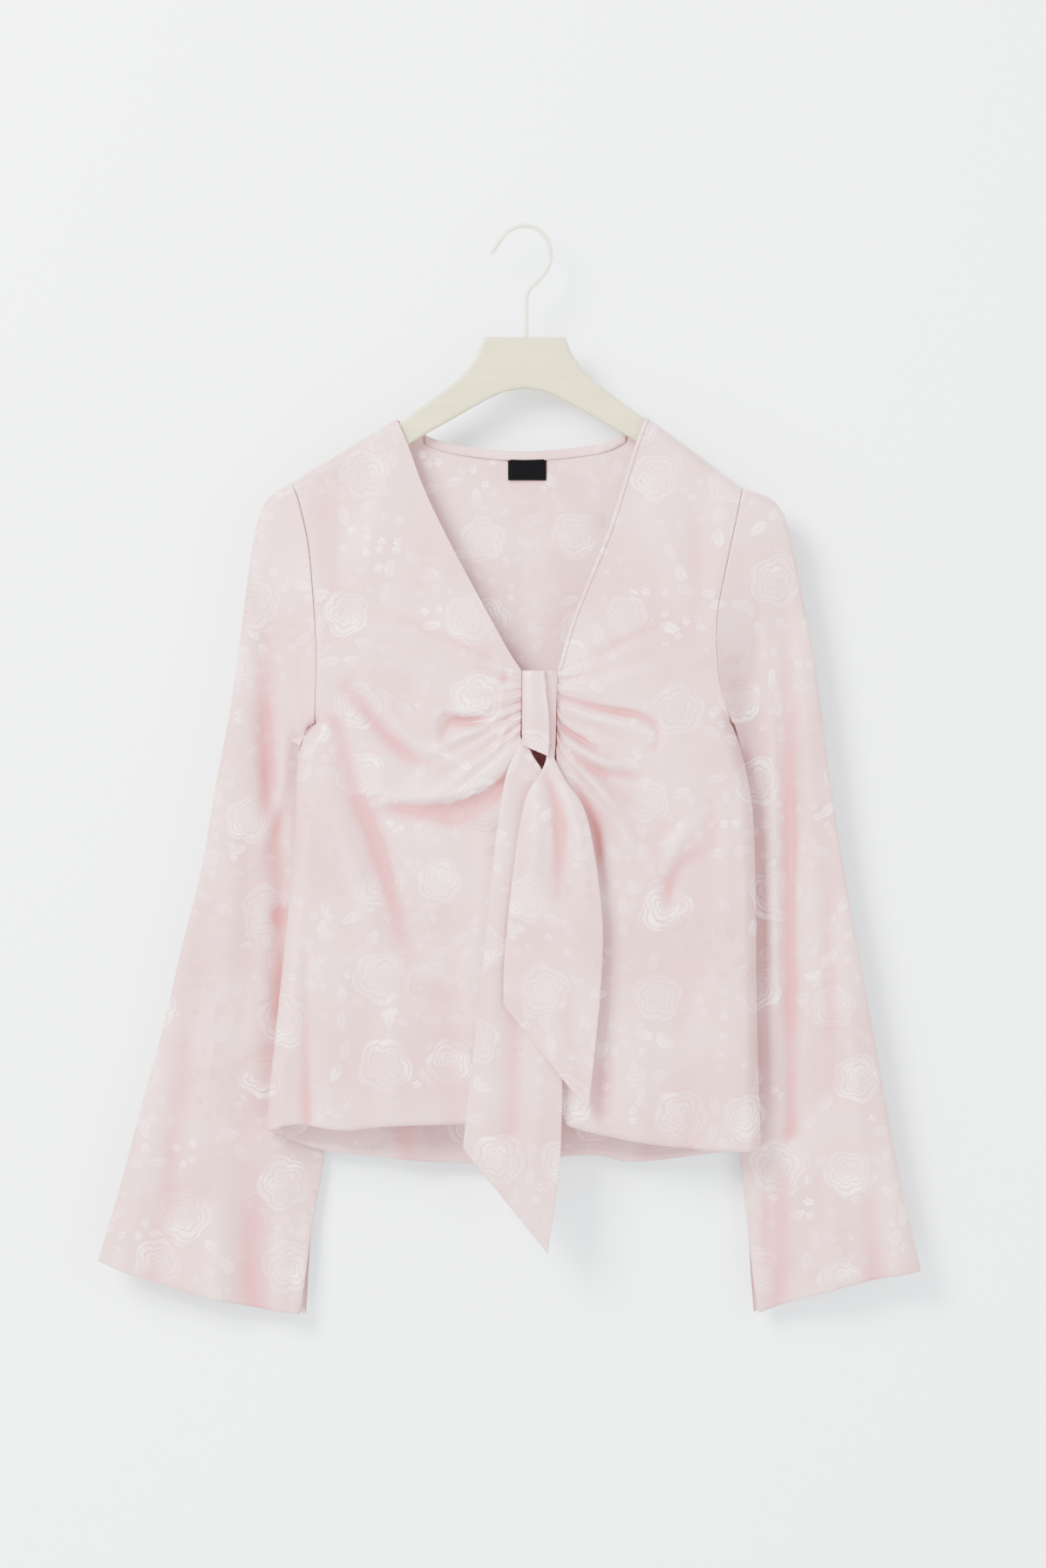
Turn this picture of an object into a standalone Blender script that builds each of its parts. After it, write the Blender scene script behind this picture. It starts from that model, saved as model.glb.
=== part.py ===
"""Wrap-look blouse with a knotted tie, on a wooden hanger.

The frame is +X to the wearer's left, -Y to the front and +Z up. The origin is the
underside of the hook's crown, where a rail or peg carries it. Every size is in
millimetres until a mesh is made. Each cloth piece is a grid of points between its
own edges. The grid is the cloth's outer face, and the wall grows inward from it.
"""
import math

import bmesh
import bpy
import numpy as np
from mathutils import Matrix

MM = 0.001
WALL = 1.0
TRIM_WALL = 0.8     # the V edge strip and the neck binding
SEAM = 0.65         # half of the space kept between two pieces that are sewn together
LYING = 0.5         # space under a strip that lies on a panel
BEHIND_WALL = 0.35  # space between the back panel and the binding or label inside it
MERGE = 0.00002     # metres

# Garment landmarks seen from the front (x, z)
NECK_R = (-106.6, -157.2)
NECK_L = (99.4, -155.2)
SHOULDER_R = (-193.0, -210.0)
SHOULDER_L = (178.6, -214.0)
UNDERARM_R = (-173.5, -409.0)
UNDERARM_L = (169.0, -407.5)

# Edges of the pieces (x, z), top to bottom
V_EDGE_R = [NECK_R, (-97.0, -180.0), (-81.5, -221.0), (-54.7, -275.0), (-17.3, -344.0), (-3.4, -366.0)]
V_EDGE_L = [NECK_L, (90.0, -180.0), (79.0, -215.0), (65.5, -256.0), (39.0, -322.0), (26.0, -366.0)]
GATHER_R = [(-3.4, -366.0), (-4.3, -421.0)]
GATHER_L = [(26.0, -366.0), (25.4, -428.0)]
CENTRE_R = [(-4.3, -421.0), (-1.0, -500.0), (2.0, -620.0), (5.0, -737.0)]
CENTRE_L = [(25.4, -428.0), (24.0, -520.0), (27.0, -640.0), (30.0, -731.0)]
ARMHOLE_R = [SHOULDER_R, (-187.0, -225.0), (-179.0, -260.0), (-175.0, -300.0), (-172.0, -351.0), UNDERARM_R]
ARMHOLE_L = [SHOULDER_L, (175.0, -233.0), (166.0, -275.0), (157.0, -325.0), (159.5, -377.0), UNDERARM_L]
SIDE_R = [UNDERARM_R, (-181.0, -416.0), (-188.0, -438.0), (-191.0, -509.0), (-199.0, -593.0),
          (-209.0, -688.0), (-214.6, -744.5)]
SIDE_L = [UNDERARM_L, (177.0, -429.0), (187.0, -477.0), (190.0, -550.0), (191.0, -650.0), (194.4, -761.0)]
HEM_FRONT_R = [(5.0, -737.0), (-50.0, -738.0), (-114.0, -739.4), (-148.0, -743.0), (-188.0, -738.0),
               (-214.6, -744.5)]
HEM_FRONT_L = [(30.0, -731.0), (39.0, -740.5), (89.0, -752.0), (141.0, -758.5), (194.4, -761.0)]
HEM_BACK = [(-214.6, -744.5), (-176.0, -760.0), (-120.0, -768.0), (-45.0, -773.0), (51.0, -766.0),
            (89.0, -772.0), (153.0, -765.0), (194.4, -761.0)]
NECK_BACK = [NECK_R, (-92.0, -165.0), (-62.0, -177.0), (-1.0, -183.0), (60.5, -177.0), (87.0, -165.0), NECK_L]

# How far the outer face of the front and the back stands from the side seams, down the torso
DEPTH = {
    "z": [-800.0, -600.0, -440.0, -380.0, -300.0, -215.0, -150.0],
    "front": [21.0, 23.0, 26.0, 26.0, 20.0, 12.5, 9.5],
    "back": [12.0, 12.0, 12.5, 13.0, 13.0, 12.5, 11.5],
}
ROUND_SHOULDER = 8.0
ROUND_SIDE = 14.0
SIDE_LIP = 0.8      # each side edge stops this far from the middle plane
KNOT = (12.0, -396.0)
KNOT_HOLLOW = (4.0, 34.0)

# Folds: line (x, z), height at its start, middle and end (out is positive),
# width to the left and to the right of its direction
FOLDS_R = [
    ([(-4, -421), (-23, -448), (-59, -467), (-113, -468)], (2.0, 8.0, 2.0), 7.0, 24.0),
    ([(-20, -462), (-60, -482), (-116, -480)], (-1.5, -3.0, -1.0), 12.0, 7.0),
    ([(-6, -390), (-29, -399), (-53, -399), (-68, -397)], (1.0, 3.5, 2.0), 6.0, 24.0),
    ([(-20, -407), (-40, -409), (-62, -409)], (-1.0, -3.0, -1.0), 5.0, 5.0),
    ([(-8, -395), (-30, -411), (-53, -421), (-72, -430)], (0.0, 2.5, 1.5), 6.0, 6.0),
    ([(-41, -458), (-84, -442), (-113, -420), (-146, -381)], (0.0, -3.0, -1.5), 12.0, 12.0),
    ([(-153, -411), (-139, -469), (-121, -511), (-96, -603)], (-2.5, -4.0, -1.0), 14.0, 14.0),
]
FOLDS_L = [
    ([(30, -388), (49, -394), (74, -399), (92, -402)], (-1.0, -3.0, -1.5), 6.0, 6.0),
    ([(30, -398), (52, -405), (76, -411), (96, -416)], (1.0, 3.0, 1.0), 7.0, 7.0),
    ([(30, -413), (42, -420), (58, -431)], (-1.0, -2.5, -1.0), 5.0, 5.0),
    ([(30, -425), (50, -434), (67, -441), (86, -443)], (1.0, 3.5, 1.0), 6.0, 6.0),
    ([(36, -434), (56, -447), (94, -454)], (-1.0, -2.5, -1.0), 6.0, 6.0),
    ([(30, -432), (46, -449), (76, -485), (86, -511)], (1.0, 4.5, 1.5), 9.0, 9.0),
    ([(42, -458), (56, -498), (63, -540)], (-1.0, -3.0, -1.0), 9.0, 9.0),
    ([(139, -490), (122, -508), (116, -526)], (1.0, 3.0, 1.0), 9.0, 9.0),
    ([(141, -516), (122, -530), (112, -575)], (-1.0, -2.5, -1.0), 10.0, 10.0),
]
FOLDS_BACK = [
    ([(0, -255), (2, -345)], (1.5, 3.0, 0.5), 16.0, 16.0),
    ([(-60, -560), (-66, -772)], (0.0, 2.5, 4.0), 22.0, 22.0),
    ([(84, -600), (86, -772)], (0.0, 2.0, 4.0), 14.0, 14.0),
    ([(18, -620), (20, -772)], (0.0, -2.0, -3.0), 20.0, 20.0),
]
PLEATS = 6
PLEAT_RISE = 1.4
PLEAT_FADE = 62.0

# Sleeve rings from the armhole down: inner end (x, y, z), outer end (x, y, z),
# half depth near each end, and how much of the armhole's own shape is left
SLEEVE_R = [
    ((-173.5, 0.0, -409.0), (-193.0, 0.0, -210.0), 8.0, 8.0, 1.00),
    ((-177.5, 5.0, -411.5), (-212.0, 0.0, -222.0), 5.0, 9.0, 0.78),
    ((-181.0, 10.5, -417.0), (-222.0, 0.0, -244.0), 4.5, 10.0, 0.52),
    ((-182.0, 15.0, -427.0), (-229.0, 0.0, -284.0), 4.0, 10.0, 0.28),
    ((-180.0, 18.5, -443.0), (-236.0, 0.0, -340.0), 3.5, 10.0, 0.12),
    ((-176.0, 20.0, -468.0), (-245.0, 0.0, -402.0), 3.5, 10.0, 0.03),
    ((-171.0, 21.0, -505.0), (-256.0, 1.0, -459.0), 3.5, 9.5, 0.0),
    ((-169.0, 21.5, -565.0), (-268.0, 2.0, -528.5), 3.5, 9.0, 0.0),
    ((-167.0, 22.5, -630.0), (-283.0, 3.0, -588.0), 3.5, 8.5, 0.0),
    ((-166.0, 23.0, -698.0), (-300.0, 4.0, -659.5), 3.5, 8.5, 0.0),
    ((-168.0, 23.0, -768.0), (-319.0, 5.0, -729.0), 4.0, 8.5, 0.0),
    ((-177.0, 20.0, -822.0), (-335.5, 5.0, -791.0), 5.0, 9.5, 0.0),
    ((-182.0, 17.0, -862.0), (-345.5, 4.0, -825.0), 5.5, 10.0, 0.0),
    ((-187.0, 15.0, -898.0), (-353.5, 3.0, -852.5), 6.0, 10.5, 0.0),
]
SLEEVE_L = [
    ((169.0, 0.0, -407.5), (178.6, 0.0, -214.0), 8.0, 8.0, 1.00),
    ((171.5, 5.0, -410.5), (205.0, 0.0, -225.0), 5.0, 9.0, 0.78),
    ((173.5, 10.5, -416.5), (218.0, 0.0, -250.0), 4.5, 10.0, 0.52),
    ((175.5, 15.0, -427.0), (226.0, 0.0, -288.0), 4.0, 10.0, 0.28),
    ((176.5, 18.5, -443.0), (236.0, 0.0, -340.0), 3.5, 10.0, 0.12),
    ((175.0, 20.0, -468.0), (245.0, 0.0, -402.0), 3.5, 10.0, 0.03),
    ((172.0, 20.5, -505.0), (253.0, 1.0, -465.0), 3.5, 9.5, 0.0),
    ((171.0, 20.5, -565.0), (264.0, 1.0, -536.0), 3.5, 9.0, 0.0),
    ((171.0, 20.5, -630.0), (275.0, 0.0, -596.0), 3.5, 9.0, 0.0),
    ((173.0, 20.5, -698.0), (288.0, 0.0, -668.0), 3.5, 9.0, 0.0),
    ((178.0, 20.0, -766.0), (301.0, 2.0, -740.0), 4.0, 9.0, 0.0),
    ((184.0, 18.0, -822.0), (313.0, 3.0, -800.0), 5.0, 9.5, 0.0),
    ((188.0, 16.0, -862.0), (321.0, 3.0, -835.0), 5.5, 10.0, 0.0),
    ((193.0, 15.0, -897.0), (327.0, 3.0, -861.0), 6.0, 10.5, 0.0),
]
SLIT_TOP_Z = -819.0
SLIT_GAP_R = 8.0
SLIT_GAP_L = 6.4
CUFF_BOW_R = 6.0
CUFF_BOW_L = -4.0

FOLDS_SLEEVE_R = [
    ([(-210, -272), (-214, -407), (-209, -473), (-202, -569)], (-2.0, -5.0, -2.0), 12.0, 12.0),
    ([(-202, -569), (-204, -641), (-214, -724)], (-2.0, -3.0, -1.0), 12.0, 12.0),
    ([(-240, -420), (-244, -600), (-262, -760)], (0.5, 3.0, 1.0), 18.0, 18.0),
    ([(-225, -760), (-225, -898)], (0.0, -3.0, -4.0), 20.0, 20.0),
]
FOLDS_SLEEVE_L = [
    ([(208, -262), (217, -366), (219, -475), (220, -747)], (-1.0, -4.0, -2.0), 9.0, 9.0),
    ([(196, -262), (203, -402), (207, -639)], (1.0, 2.5, 1.0), 7.0, 7.0),
    ([(262, -560), (271, -693), (278, -790)], (0.0, 4.0, 1.0), 12.0, 12.0),
    ([(212, -740), (208, -897)], (0.0, -3.0, -3.5), 12.0, 12.0),
]
FOLDS_SLEEVE_BACK_R = [
    ([(-215, -300), (-222, -520), (-240, -760)], (-1.0, -4.0, -2.0), 15.0, 15.0),
    ([(-270, -600), (-290, -850)], (0.0, 3.0, 3.0), 18.0, 18.0),
]
FOLDS_SLEEVE_BACK_L = [
    ([(212, -300), (222, -520), (236, -760)], (-1.0, -4.0, -2.0), 15.0, 15.0),
    ([(258, -600), (280, -850)], (0.0, 3.0, 3.0), 18.0, 18.0),
]

# Knot band, top to bottom: z at its left and right edge, x of both edges, front and back y
KNOT_BAND = [
    (-366.0, -366.0, -2.6, 24.8, -33.0, -18.0),
    (-378.0, -378.0, -3.0, 25.0, -35.5, -17.0),
    (-392.0, -392.0, -3.0, 25.0, -37.0, -16.5),
    (-406.0, -408.0, -3.0, 24.8, -37.5, -16.5),
    (-418.0, -424.0, -3.0, 24.4, -37.0, -16.5),
    (-427.0, -438.0, -2.4, 23.6, -36.0, -17.0),
]

# Tie ends: left edge and right edge (x, z) and depth (y) at both, top to bottom
TIE_LONG = {
    "left": [(1.5, -427.8), (-8.5, -432.0), (-18.0, -461.0), (-28.0, -534.0), (-36.0, -616.0),
             (-45.0, -698.0), (-51.4, -757.0)],
    "right": [(16.0, -426.0), (24.0, -450.0), (28.0, -500.0), (30.0, -600.0), (29.5, -735.0),
              (25.5, -790.0), (18.0, -843.0)],
    "y": [(0.0, -27.5), (0.06, -31.0), (0.2, -34.5), (0.6, -31.0), (1.0, -29.0)],
    "fold": [([(4, -450), (-4, -560), (-12, -740)], (-1.0, -2.5, -1.5), 12.0, 12.0)],
}
TIE_SHORT = {
    "left": [(8.0, -426.0), (10.0, -446.0), (-1.0, -470.0), (-8.8, -520.0), (-17.0, -596.0), (-18.3, -639.4)],
    "right": [(20.7, -427.0), (21.2, -441.0), (50.0, -486.0), (62.0, -561.0), (61.5, -623.0), (51.5, -726.0)],
    "y": [(0.0, -31.0), (0.055, -32.0), (0.13, -38.0), (0.25, -41.0), (0.6, -37.0), (1.0, -35.0)],
    "fold": [([(20, -440), (27, -500), (27, -545)], (-1.5, -4.0, -1.0), 9.0, 9.0)],
}

# Hanger: half outline from its middle (x, z), mirrored about its own middle line
HANGER_MIDDLE = -0.7
HANGER_THICK = 11.0
HANGER_ROUND = 2.5
HANGER_TOP = [(33.2, -90.0), (40.5, -107.0), (50.0, -120.0), (62.0, -130.5), (79.0, -143.0),
              (99.0, -157.4), (104.0, -161.4), (150.0, -196.0), (188.0, -224.0)]
HANGER_END = [(194.0, -233.0), (190.0, -240.0)]
HANGER_UNDER = [(180.0, -238.0), (150.0, -222.0), (95.0, -178.5), (66.0, -161.0), (45.0, -149.0),
                (27.0, -139.0), (13.0, -133.5), (0.0, -132.0)]
HOOK_WIRE = 2.0
HOOK_RUN = [(0.4, -89.6), (0.4, -72.0), (0.5, -57.0), (3.0, -50.0), (8.7, -45.0), (16.0, -36.0),
            (19.9, -27.5), (20.2, -18.0), (16.5, -7.6), (9.4, -0.6), (1.0, 2.2), (-8.0, 1.0),
            (-15.5, -3.0), (-22.0, -11.0), (-28.7, -21.0)]

BINDING_WIDE = 7.5
BINDING_REACH = 84.0
BINDING_DROP = 0.3
LABEL_X = (-14.8, 17.3)
LABEL_Z = (-191.6, -207.6)
LABEL_THICK = 0.7
STRIP_WIDE = 3.6


def clear_scene():
    for item in list(bpy.data.objects):
        bpy.data.objects.remove(item, do_unlink=True)


def finish(name, colour, roughness, metallic=0.0, sheen=0.0):
    """One Principled material."""
    material = bpy.data.materials.new(name)
    material.use_nodes = True
    shader = material.node_tree.nodes["Principled BSDF"]
    shader.inputs["Base Color"].default_value = (*colour, 1.0)
    shader.inputs["Roughness"].default_value = roughness
    shader.inputs["Metallic"].default_value = metallic
    shader.inputs["Sheen Weight"].default_value = sheen
    return material


def smooth(points, count, ease=1.0):
    """Points on a smooth curve through the given ones; ease over 1 crowds them at its start."""
    knots = np.array(points, dtype=float)
    ends = np.vstack([2 * knots[0] - knots[1], knots, 2 * knots[-1] - knots[-2]])
    dense = []
    for a, b, c, d in zip(ends, ends[1:], ends[2:], ends[3:]):
        for t in np.linspace(0, 1, 12, endpoint=False):
            bend = (2 * a - 5 * b + 4 * c - d) * t * t
            dense.append(0.5 * (2 * b + (c - a) * t + bend + (3 * b - a - 3 * c + d) * t ** 3))
    dense.append(knots[-1])
    dense = np.array(dense)
    run = np.concatenate([[0], np.cumsum(np.linalg.norm(np.diff(dense, axis=0), axis=1))])
    places = run[-1] * np.linspace(0, 1, count + 1) ** ease
    return np.column_stack([np.interp(places, run, dense[:, k]) for k in range(dense.shape[1])])


def chain(*legs):
    """One edge made of several legs: points, number of steps and, on the first, the ease."""
    runs = [smooth(*leg) for leg in legs]
    return np.vstack([runs[0]] + [run[1:] for run in runs[1:]])


def split_at(points, z):
    """Cut a falling edge in two where it passes z."""
    fine = smooth(points, 200)
    cut = int(np.argmax(fine[:, 1] <= z))
    upper = np.vstack([fine[:cut:8], fine[cut]])
    lower = np.vstack([fine[cut::8], fine[-1]])
    return upper, lower


def reach(points, line):
    """Distance from each (x, z) point to a line, place along it from 0 to 1, and side."""
    knots = np.array(line, dtype=float)
    lengths = np.linalg.norm(np.diff(knots, axis=0), axis=1)
    total = lengths.sum()
    best = np.full(points.shape[:-1], 1e9)
    place = np.zeros_like(best)
    side = np.zeros_like(best)
    start = 0.0
    for a, b, length in zip(knots, knots[1:], lengths):
        if length < 1e-6:
            continue
        way = (b - a) / length
        off = points - a
        t = np.clip(off @ way, 0, length)
        away = off - t[..., None] * way
        far = np.linalg.norm(away, axis=-1)
        near = far < best
        turn = way[0] * off[..., 1] - way[1] * off[..., 0]
        best = np.where(near, far, best)
        place = np.where(near, (start + t) / total, place)
        side = np.where(near, np.sign(turn), side)
        start += length
    return best, place, side


def folded(points, folds):
    """Sum of the folds' heights at each (x, z) point."""
    total = np.zeros(points.shape[:-1])
    for line, heights, left, right in folds:
        far, place, side = reach(points, smooth(line, 12))
        height = np.interp(place, [0.0, 0.5, 1.0], heights)
        width = np.where(side > 0, left, right)
        total += height * np.exp(-(far / width) ** 2)
    return total


def rounding(points):
    """0 on the shoulder and side seams, rising to 1 as a quarter circle."""
    height = np.ones(points.shape[:-1])
    seams = [
        ([NECK_R, SHOULDER_R], ROUND_SHOULDER),
        ([NECK_L, SHOULDER_L], ROUND_SHOULDER),
        (smooth(SIDE_R, 24), ROUND_SIDE),
        (smooth(SIDE_L, 24), ROUND_SIDE),
    ]
    for line, radius in seams:
        far = np.minimum(reach(points, line)[0] / radius, 1.0)
        height = np.minimum(height, np.sqrt(1 - (1 - far) ** 2))
    return height


def torso_depth(points, face):
    """Depth of the plain torso at each (x, z) point, without its folds."""
    depth = np.interp(points[..., 1], DEPTH["z"], DEPTH[face])
    if face == "front":
        rise, spread = KNOT_HOLLOW
        far = np.linalg.norm(points - np.array(KNOT), axis=-1)
        depth = depth - rise * np.exp(-(far / spread) ** 2)
    return SIDE_LIP + (depth - SIDE_LIP) * rounding(points)


def patch(top, bottom, inner, outer, across):
    """Points between four edges; rows run from the inner edge to the outer one."""
    u = across[None, :, None]
    v = np.linspace(0, 1, len(inner))[:, None, None]
    sides = (1 - u) * inner[:, None] + u * outer[:, None]
    ends = (1 - v) * top[None] + v * bottom[None]
    corners = (1 - v) * ((1 - u) * top[0] + u * top[-1]) + v * ((1 - u) * bottom[0] + u * bottom[-1])
    return sides + ends - corners


def spaced(count):
    """Places from 0 to 1, closer together near both ends."""
    return (1 - np.cos(np.linspace(0, math.pi, count + 1))) / 2


def edge_at(points, places):
    """Points of an edge at the given places along it."""
    fine = smooth(points, 200)
    at = np.linspace(0, 1, len(fine))
    return np.column_stack([np.interp(places, at, fine[:, k]) for k in range(2)])


def lifted(flat, depth):
    """3-D points from (x, z) points and their y."""
    return np.dstack([flat[..., 0], depth, flat[..., 1]])


def shell(name, grid, outward, material, wall=WALL):
    """A cloth wall: the grid is its outer face, and Solidify thickens it inward."""
    rows, columns = grid.shape[:2]
    mesh = bpy.data.meshes.new(name)
    build = bmesh.new()
    points = [[build.verts.new(grid[i, j] * MM) for j in range(columns)] for i in range(rows)]
    for i in range(rows - 1):
        for j in range(columns - 1):
            build.faces.new((points[i][j], points[i][j + 1], points[i + 1][j + 1], points[i + 1][j]))
    build.normal_update()
    middle = [face.normal.dot(outward(face.calc_center_median() / MM)) for face in build.faces]
    if sum(middle) < 0:
        bmesh.ops.reverse_faces(build, faces=build.faces)
    bmesh.ops.remove_doubles(build, verts=build.verts, dist=MERGE)
    build.to_mesh(mesh)
    build.free()
    piece = place(name, mesh, material)
    solid = piece.modifiers.new("wall", "SOLIDIFY")
    solid.thickness = wall * MM
    solid.offset = -1.0
    solid.use_even_offset = True
    solid.use_quality_normals = True
    return piece


def place(name, data, material):
    """An object in the blouse's collection."""
    item = bpy.data.objects.new(name, data)
    bpy.data.collections["blouse"].objects.link(item)
    data.materials.append(material)
    if isinstance(data, bpy.types.Mesh):
        data.shade_smooth()
    return item


def forward(point):
    return (0.0, -1.0, 0.0)


def backward(point):
    return (0.0, 1.0, 0.0)


def shifted(points, along_x):
    """An edge moved along X, to leave the space of a seam."""
    return [(x + along_x, z) for x, z in points]


FRONT_STEPS = {"v_edge": 9, "gather": 4 * PLEATS, "centre": 11}
LOWER_ARMHOLE_ROWS = 8
FRONT_COLUMNS = 16
STRIP_COLUMN = 5
TOP_EASE = 2.2
ARMHOLE_SPLIT_Z = -300.0
SIDE_SPLIT_Z = -600.0


def front_grid(v_edge, gather, centre, armhole, side, hem, neck, folds, way):
    """Outer points of one front; way is -1 for the wearer's right and +1 for the left."""
    across = spaced(FRONT_COLUMNS)
    armhole = shifted(armhole, -way * SEAM)
    upper, lower = split_at(armhole, ARMHOLE_SPLIT_Z)
    above, below = split_at(side, SIDE_SPLIT_Z)
    steps = FRONT_STEPS
    inner = chain((v_edge, steps["v_edge"], TOP_EASE), (gather, steps["gather"]), (centre, steps["centre"]))
    outer = chain((upper, steps["v_edge"], TOP_EASE), (lower, LOWER_ARMHOLE_ROWS),
                  (above, steps["gather"] - LOWER_ARMHOLE_ROWS), (below, steps["centre"]))
    top = edge_at([neck, armhole[0]], across)
    bottom = edge_at(hem, across)
    flat = patch(top, bottom, inner, outer, across)
    depth = torso_depth(flat, "front")
    calm = np.minimum(1.0, rounding(flat) ** 2)
    depth = depth + folded(flat, folds) * calm
    rows = np.arange(len(inner))[:, None]
    turn = (rows - steps["v_edge"]) / steps["gather"]
    inside = (turn > 0) & (turn < 1)
    run = np.abs(flat[..., 0] - flat[:, :1, 0])
    wave = np.where(inside, np.sin(turn * 2 * math.pi * PLEATS), 0.0)
    depth = depth + PLEAT_RISE * wave * np.exp(-(run / PLEAT_FADE) ** 2)
    return lifted(flat, -depth)


def make_fronts(satin):
    right = front_grid(V_EDGE_R, GATHER_R, CENTRE_R, ARMHOLE_R, SIDE_R, HEM_FRONT_R, NECK_R, FOLDS_R, -1)
    left = front_grid(V_EDGE_L, GATHER_L, CENTRE_L, ARMHOLE_L, SIDE_L, HEM_FRONT_L, NECK_L, FOLDS_L, 1)
    shell("front_right", right, forward, satin("front_right"))
    shell("front_left", left, forward, satin("front_left"))
    return left


def make_strip(front, satin):
    """The folded strip along the left front's V edge, on the front's own points."""
    rows = FRONT_STEPS["v_edge"] + 1
    edge = front[1:rows, 0]
    inside = front[1:rows, STRIP_COLUMN]
    way = inside - edge
    way /= np.linalg.norm(way, axis=1)[:, None]
    lift = np.array([0.0, -(TRIM_WALL + LYING), 0.0])
    grid = np.stack([edge + lift, edge + way * STRIP_WIDE / 2 + lift, edge + way * STRIP_WIDE + lift], axis=1)
    shell("front_strip", grid, forward, satin("front_strip"), TRIM_WALL)


BACK_ARMHOLE_ROWS = 10
BACK_SIDE_ROWS = 8
BACK_EASE = 1.8
BACK_SHOULDER_COLUMNS = 5
BACK_NECK_COLUMNS = 14


def make_back(satin):
    armhole_r = shifted(ARMHOLE_R, SEAM)
    armhole_l = shifted(ARMHOLE_L, -SEAM)
    shoulder_r = smooth([armhole_r[0], NECK_R], BACK_SHOULDER_COLUMNS)
    shoulder_l = smooth([NECK_L, armhole_l[0]], BACK_SHOULDER_COLUMNS)
    neck = edge_at(NECK_BACK, spaced(BACK_NECK_COLUMNS))
    top = np.vstack([shoulder_r, neck[1:], shoulder_l[1:]])
    count = len(top) - 1
    across = spaced(count)
    bottom = edge_at(HEM_BACK, across)
    left_side = chain((armhole_r, BACK_ARMHOLE_ROWS, BACK_EASE), (SIDE_R, BACK_SIDE_ROWS))
    right_side = chain((armhole_l, BACK_ARMHOLE_ROWS, BACK_EASE), (SIDE_L, BACK_SIDE_ROWS))
    flat = patch(top, bottom, left_side, right_side, across)
    depth = torso_depth(flat, "back") + folded(flat, FOLDS_BACK) * rounding(flat) ** 2
    grid = lifted(flat, depth)
    shell("back", grid, backward, satin("back"))
    return grid


def make_binding(satin):
    """The band inside the back neck edge."""
    fine = smooth(NECK_BACK, 120)
    kept = fine[np.abs(fine[:, 0]) < BINDING_REACH]
    edge = smooth(kept, 16)
    lower = edge + np.array([0.0, -BINDING_WIDE])
    flat = np.stack([edge - [0.0, BINDING_DROP], (edge + lower) / 2, lower], axis=1)
    depth = torso_depth(flat, "back") - WALL - BEHIND_WALL - TRIM_WALL
    shell("neck_binding", lifted(flat, depth), forward, satin("neck_binding"), TRIM_WALL)


def make_label():
    middle_x = sum(LABEL_X) / 2
    middle_z = sum(LABEL_Z) / 2
    face = float(torso_depth(np.array([middle_x, middle_z]), "back")) - WALL
    depth = face - BEHIND_WALL - LABEL_THICK / 2
    bpy.ops.mesh.primitive_cube_add(size=1, location=(middle_x * MM, depth * MM, middle_z * MM))
    label = bpy.context.active_object
    label.name = "neck_label"
    size = (LABEL_X[1] - LABEL_X[0], LABEL_THICK, LABEL_Z[0] - LABEL_Z[1])
    label.data.transform(Matrix.Diagonal((size[0] * MM, size[1] * MM, size[2] * MM, 1.0)))
    for collection in list(label.users_collection):
        collection.objects.unlink(label)
    bpy.data.collections["blouse"].objects.link(label)
    label.data.materials.append(finish("label_black", (0.012, 0.012, 0.013), 0.75))


SLEEVE_STEPS = 11
CUFF_FROM_RING = 9      # the cuff's bow grows from this ring down
SLIT_SIDE = 0.6         # how far the slit's rear edge shows past the front one


def sleeve_grid(table, armhole, folds_front, folds_back, slit_gap, bow, way):
    """Rings of a flattened tube, from the armhole seam to the cuff."""
    inner = np.array([row[0] for row in table])
    outer = np.array([row[1] for row in table])
    across = spaced(SLEEVE_STEPS)
    seam = edge_at(shifted(armhole, way * SEAM), 1 - across)
    profile = np.sqrt(1 - np.abs(2 * across - 1) ** 3)
    rings = []
    residual = None
    for ring, row in enumerate(table):
        line = inner[ring] + (outer[ring] - inner[ring]) * across[:, None]
        half = (row[2] + (row[3] - row[2]) * across) * profile
        front = line.copy()
        back = line.copy()
        front[:, 1] -= half
        back[:, 1] += half
        if residual is None:
            depth_front = torso_depth(seam, "front")
            depth_back = torso_depth(seam, "back")
            true_front = np.column_stack([seam[:, 0], -depth_front, seam[:, 1]])
            true_back = np.column_stack([seam[:, 0], depth_back, seam[:, 1]])
            residual = (true_front - front, true_back - back)
        front += residual[0] * row[4]
        back += residual[1] * row[4]
        calm = profile * (1 - row[4]) ** 2
        front[:, 1] -= folded(front[:, [0, 2]], folds_front) * calm
        back[:, 1] += folded(back[:, [0, 2]], folds_back) * calm
        low = np.clip((ring - CUFF_FROM_RING) / (len(table) - 1 - CUFF_FROM_RING), 0, 1) ** 2
        drop = bow * 4 * across * (1 - across) * low
        front[:, 2] -= drop
        back[:, 2] -= drop
        if ring > 0:
            joined = (front[0] + back[0]) / 2
            front[0] = joined
            back[0] = joined
            front[-1] = back[-1] = (front[-1] + back[-1]) / 2
        opening = np.clip((SLIT_TOP_Z - inner[ring, 2]) / (SLIT_TOP_Z - inner[-1, 2]), 0, 1)
        if opening > 0:
            spread = slit_gap * (0.5 + 0.5 * opening)
            front[0, 1] -= spread / 2
            back[0, 1] += spread / 2
            back[0, 0] -= way * slit_gap * opening * SLIT_SIDE
        rings.append(np.vstack([front, back[-2::-1]]))
    return np.array(rings)


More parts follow.
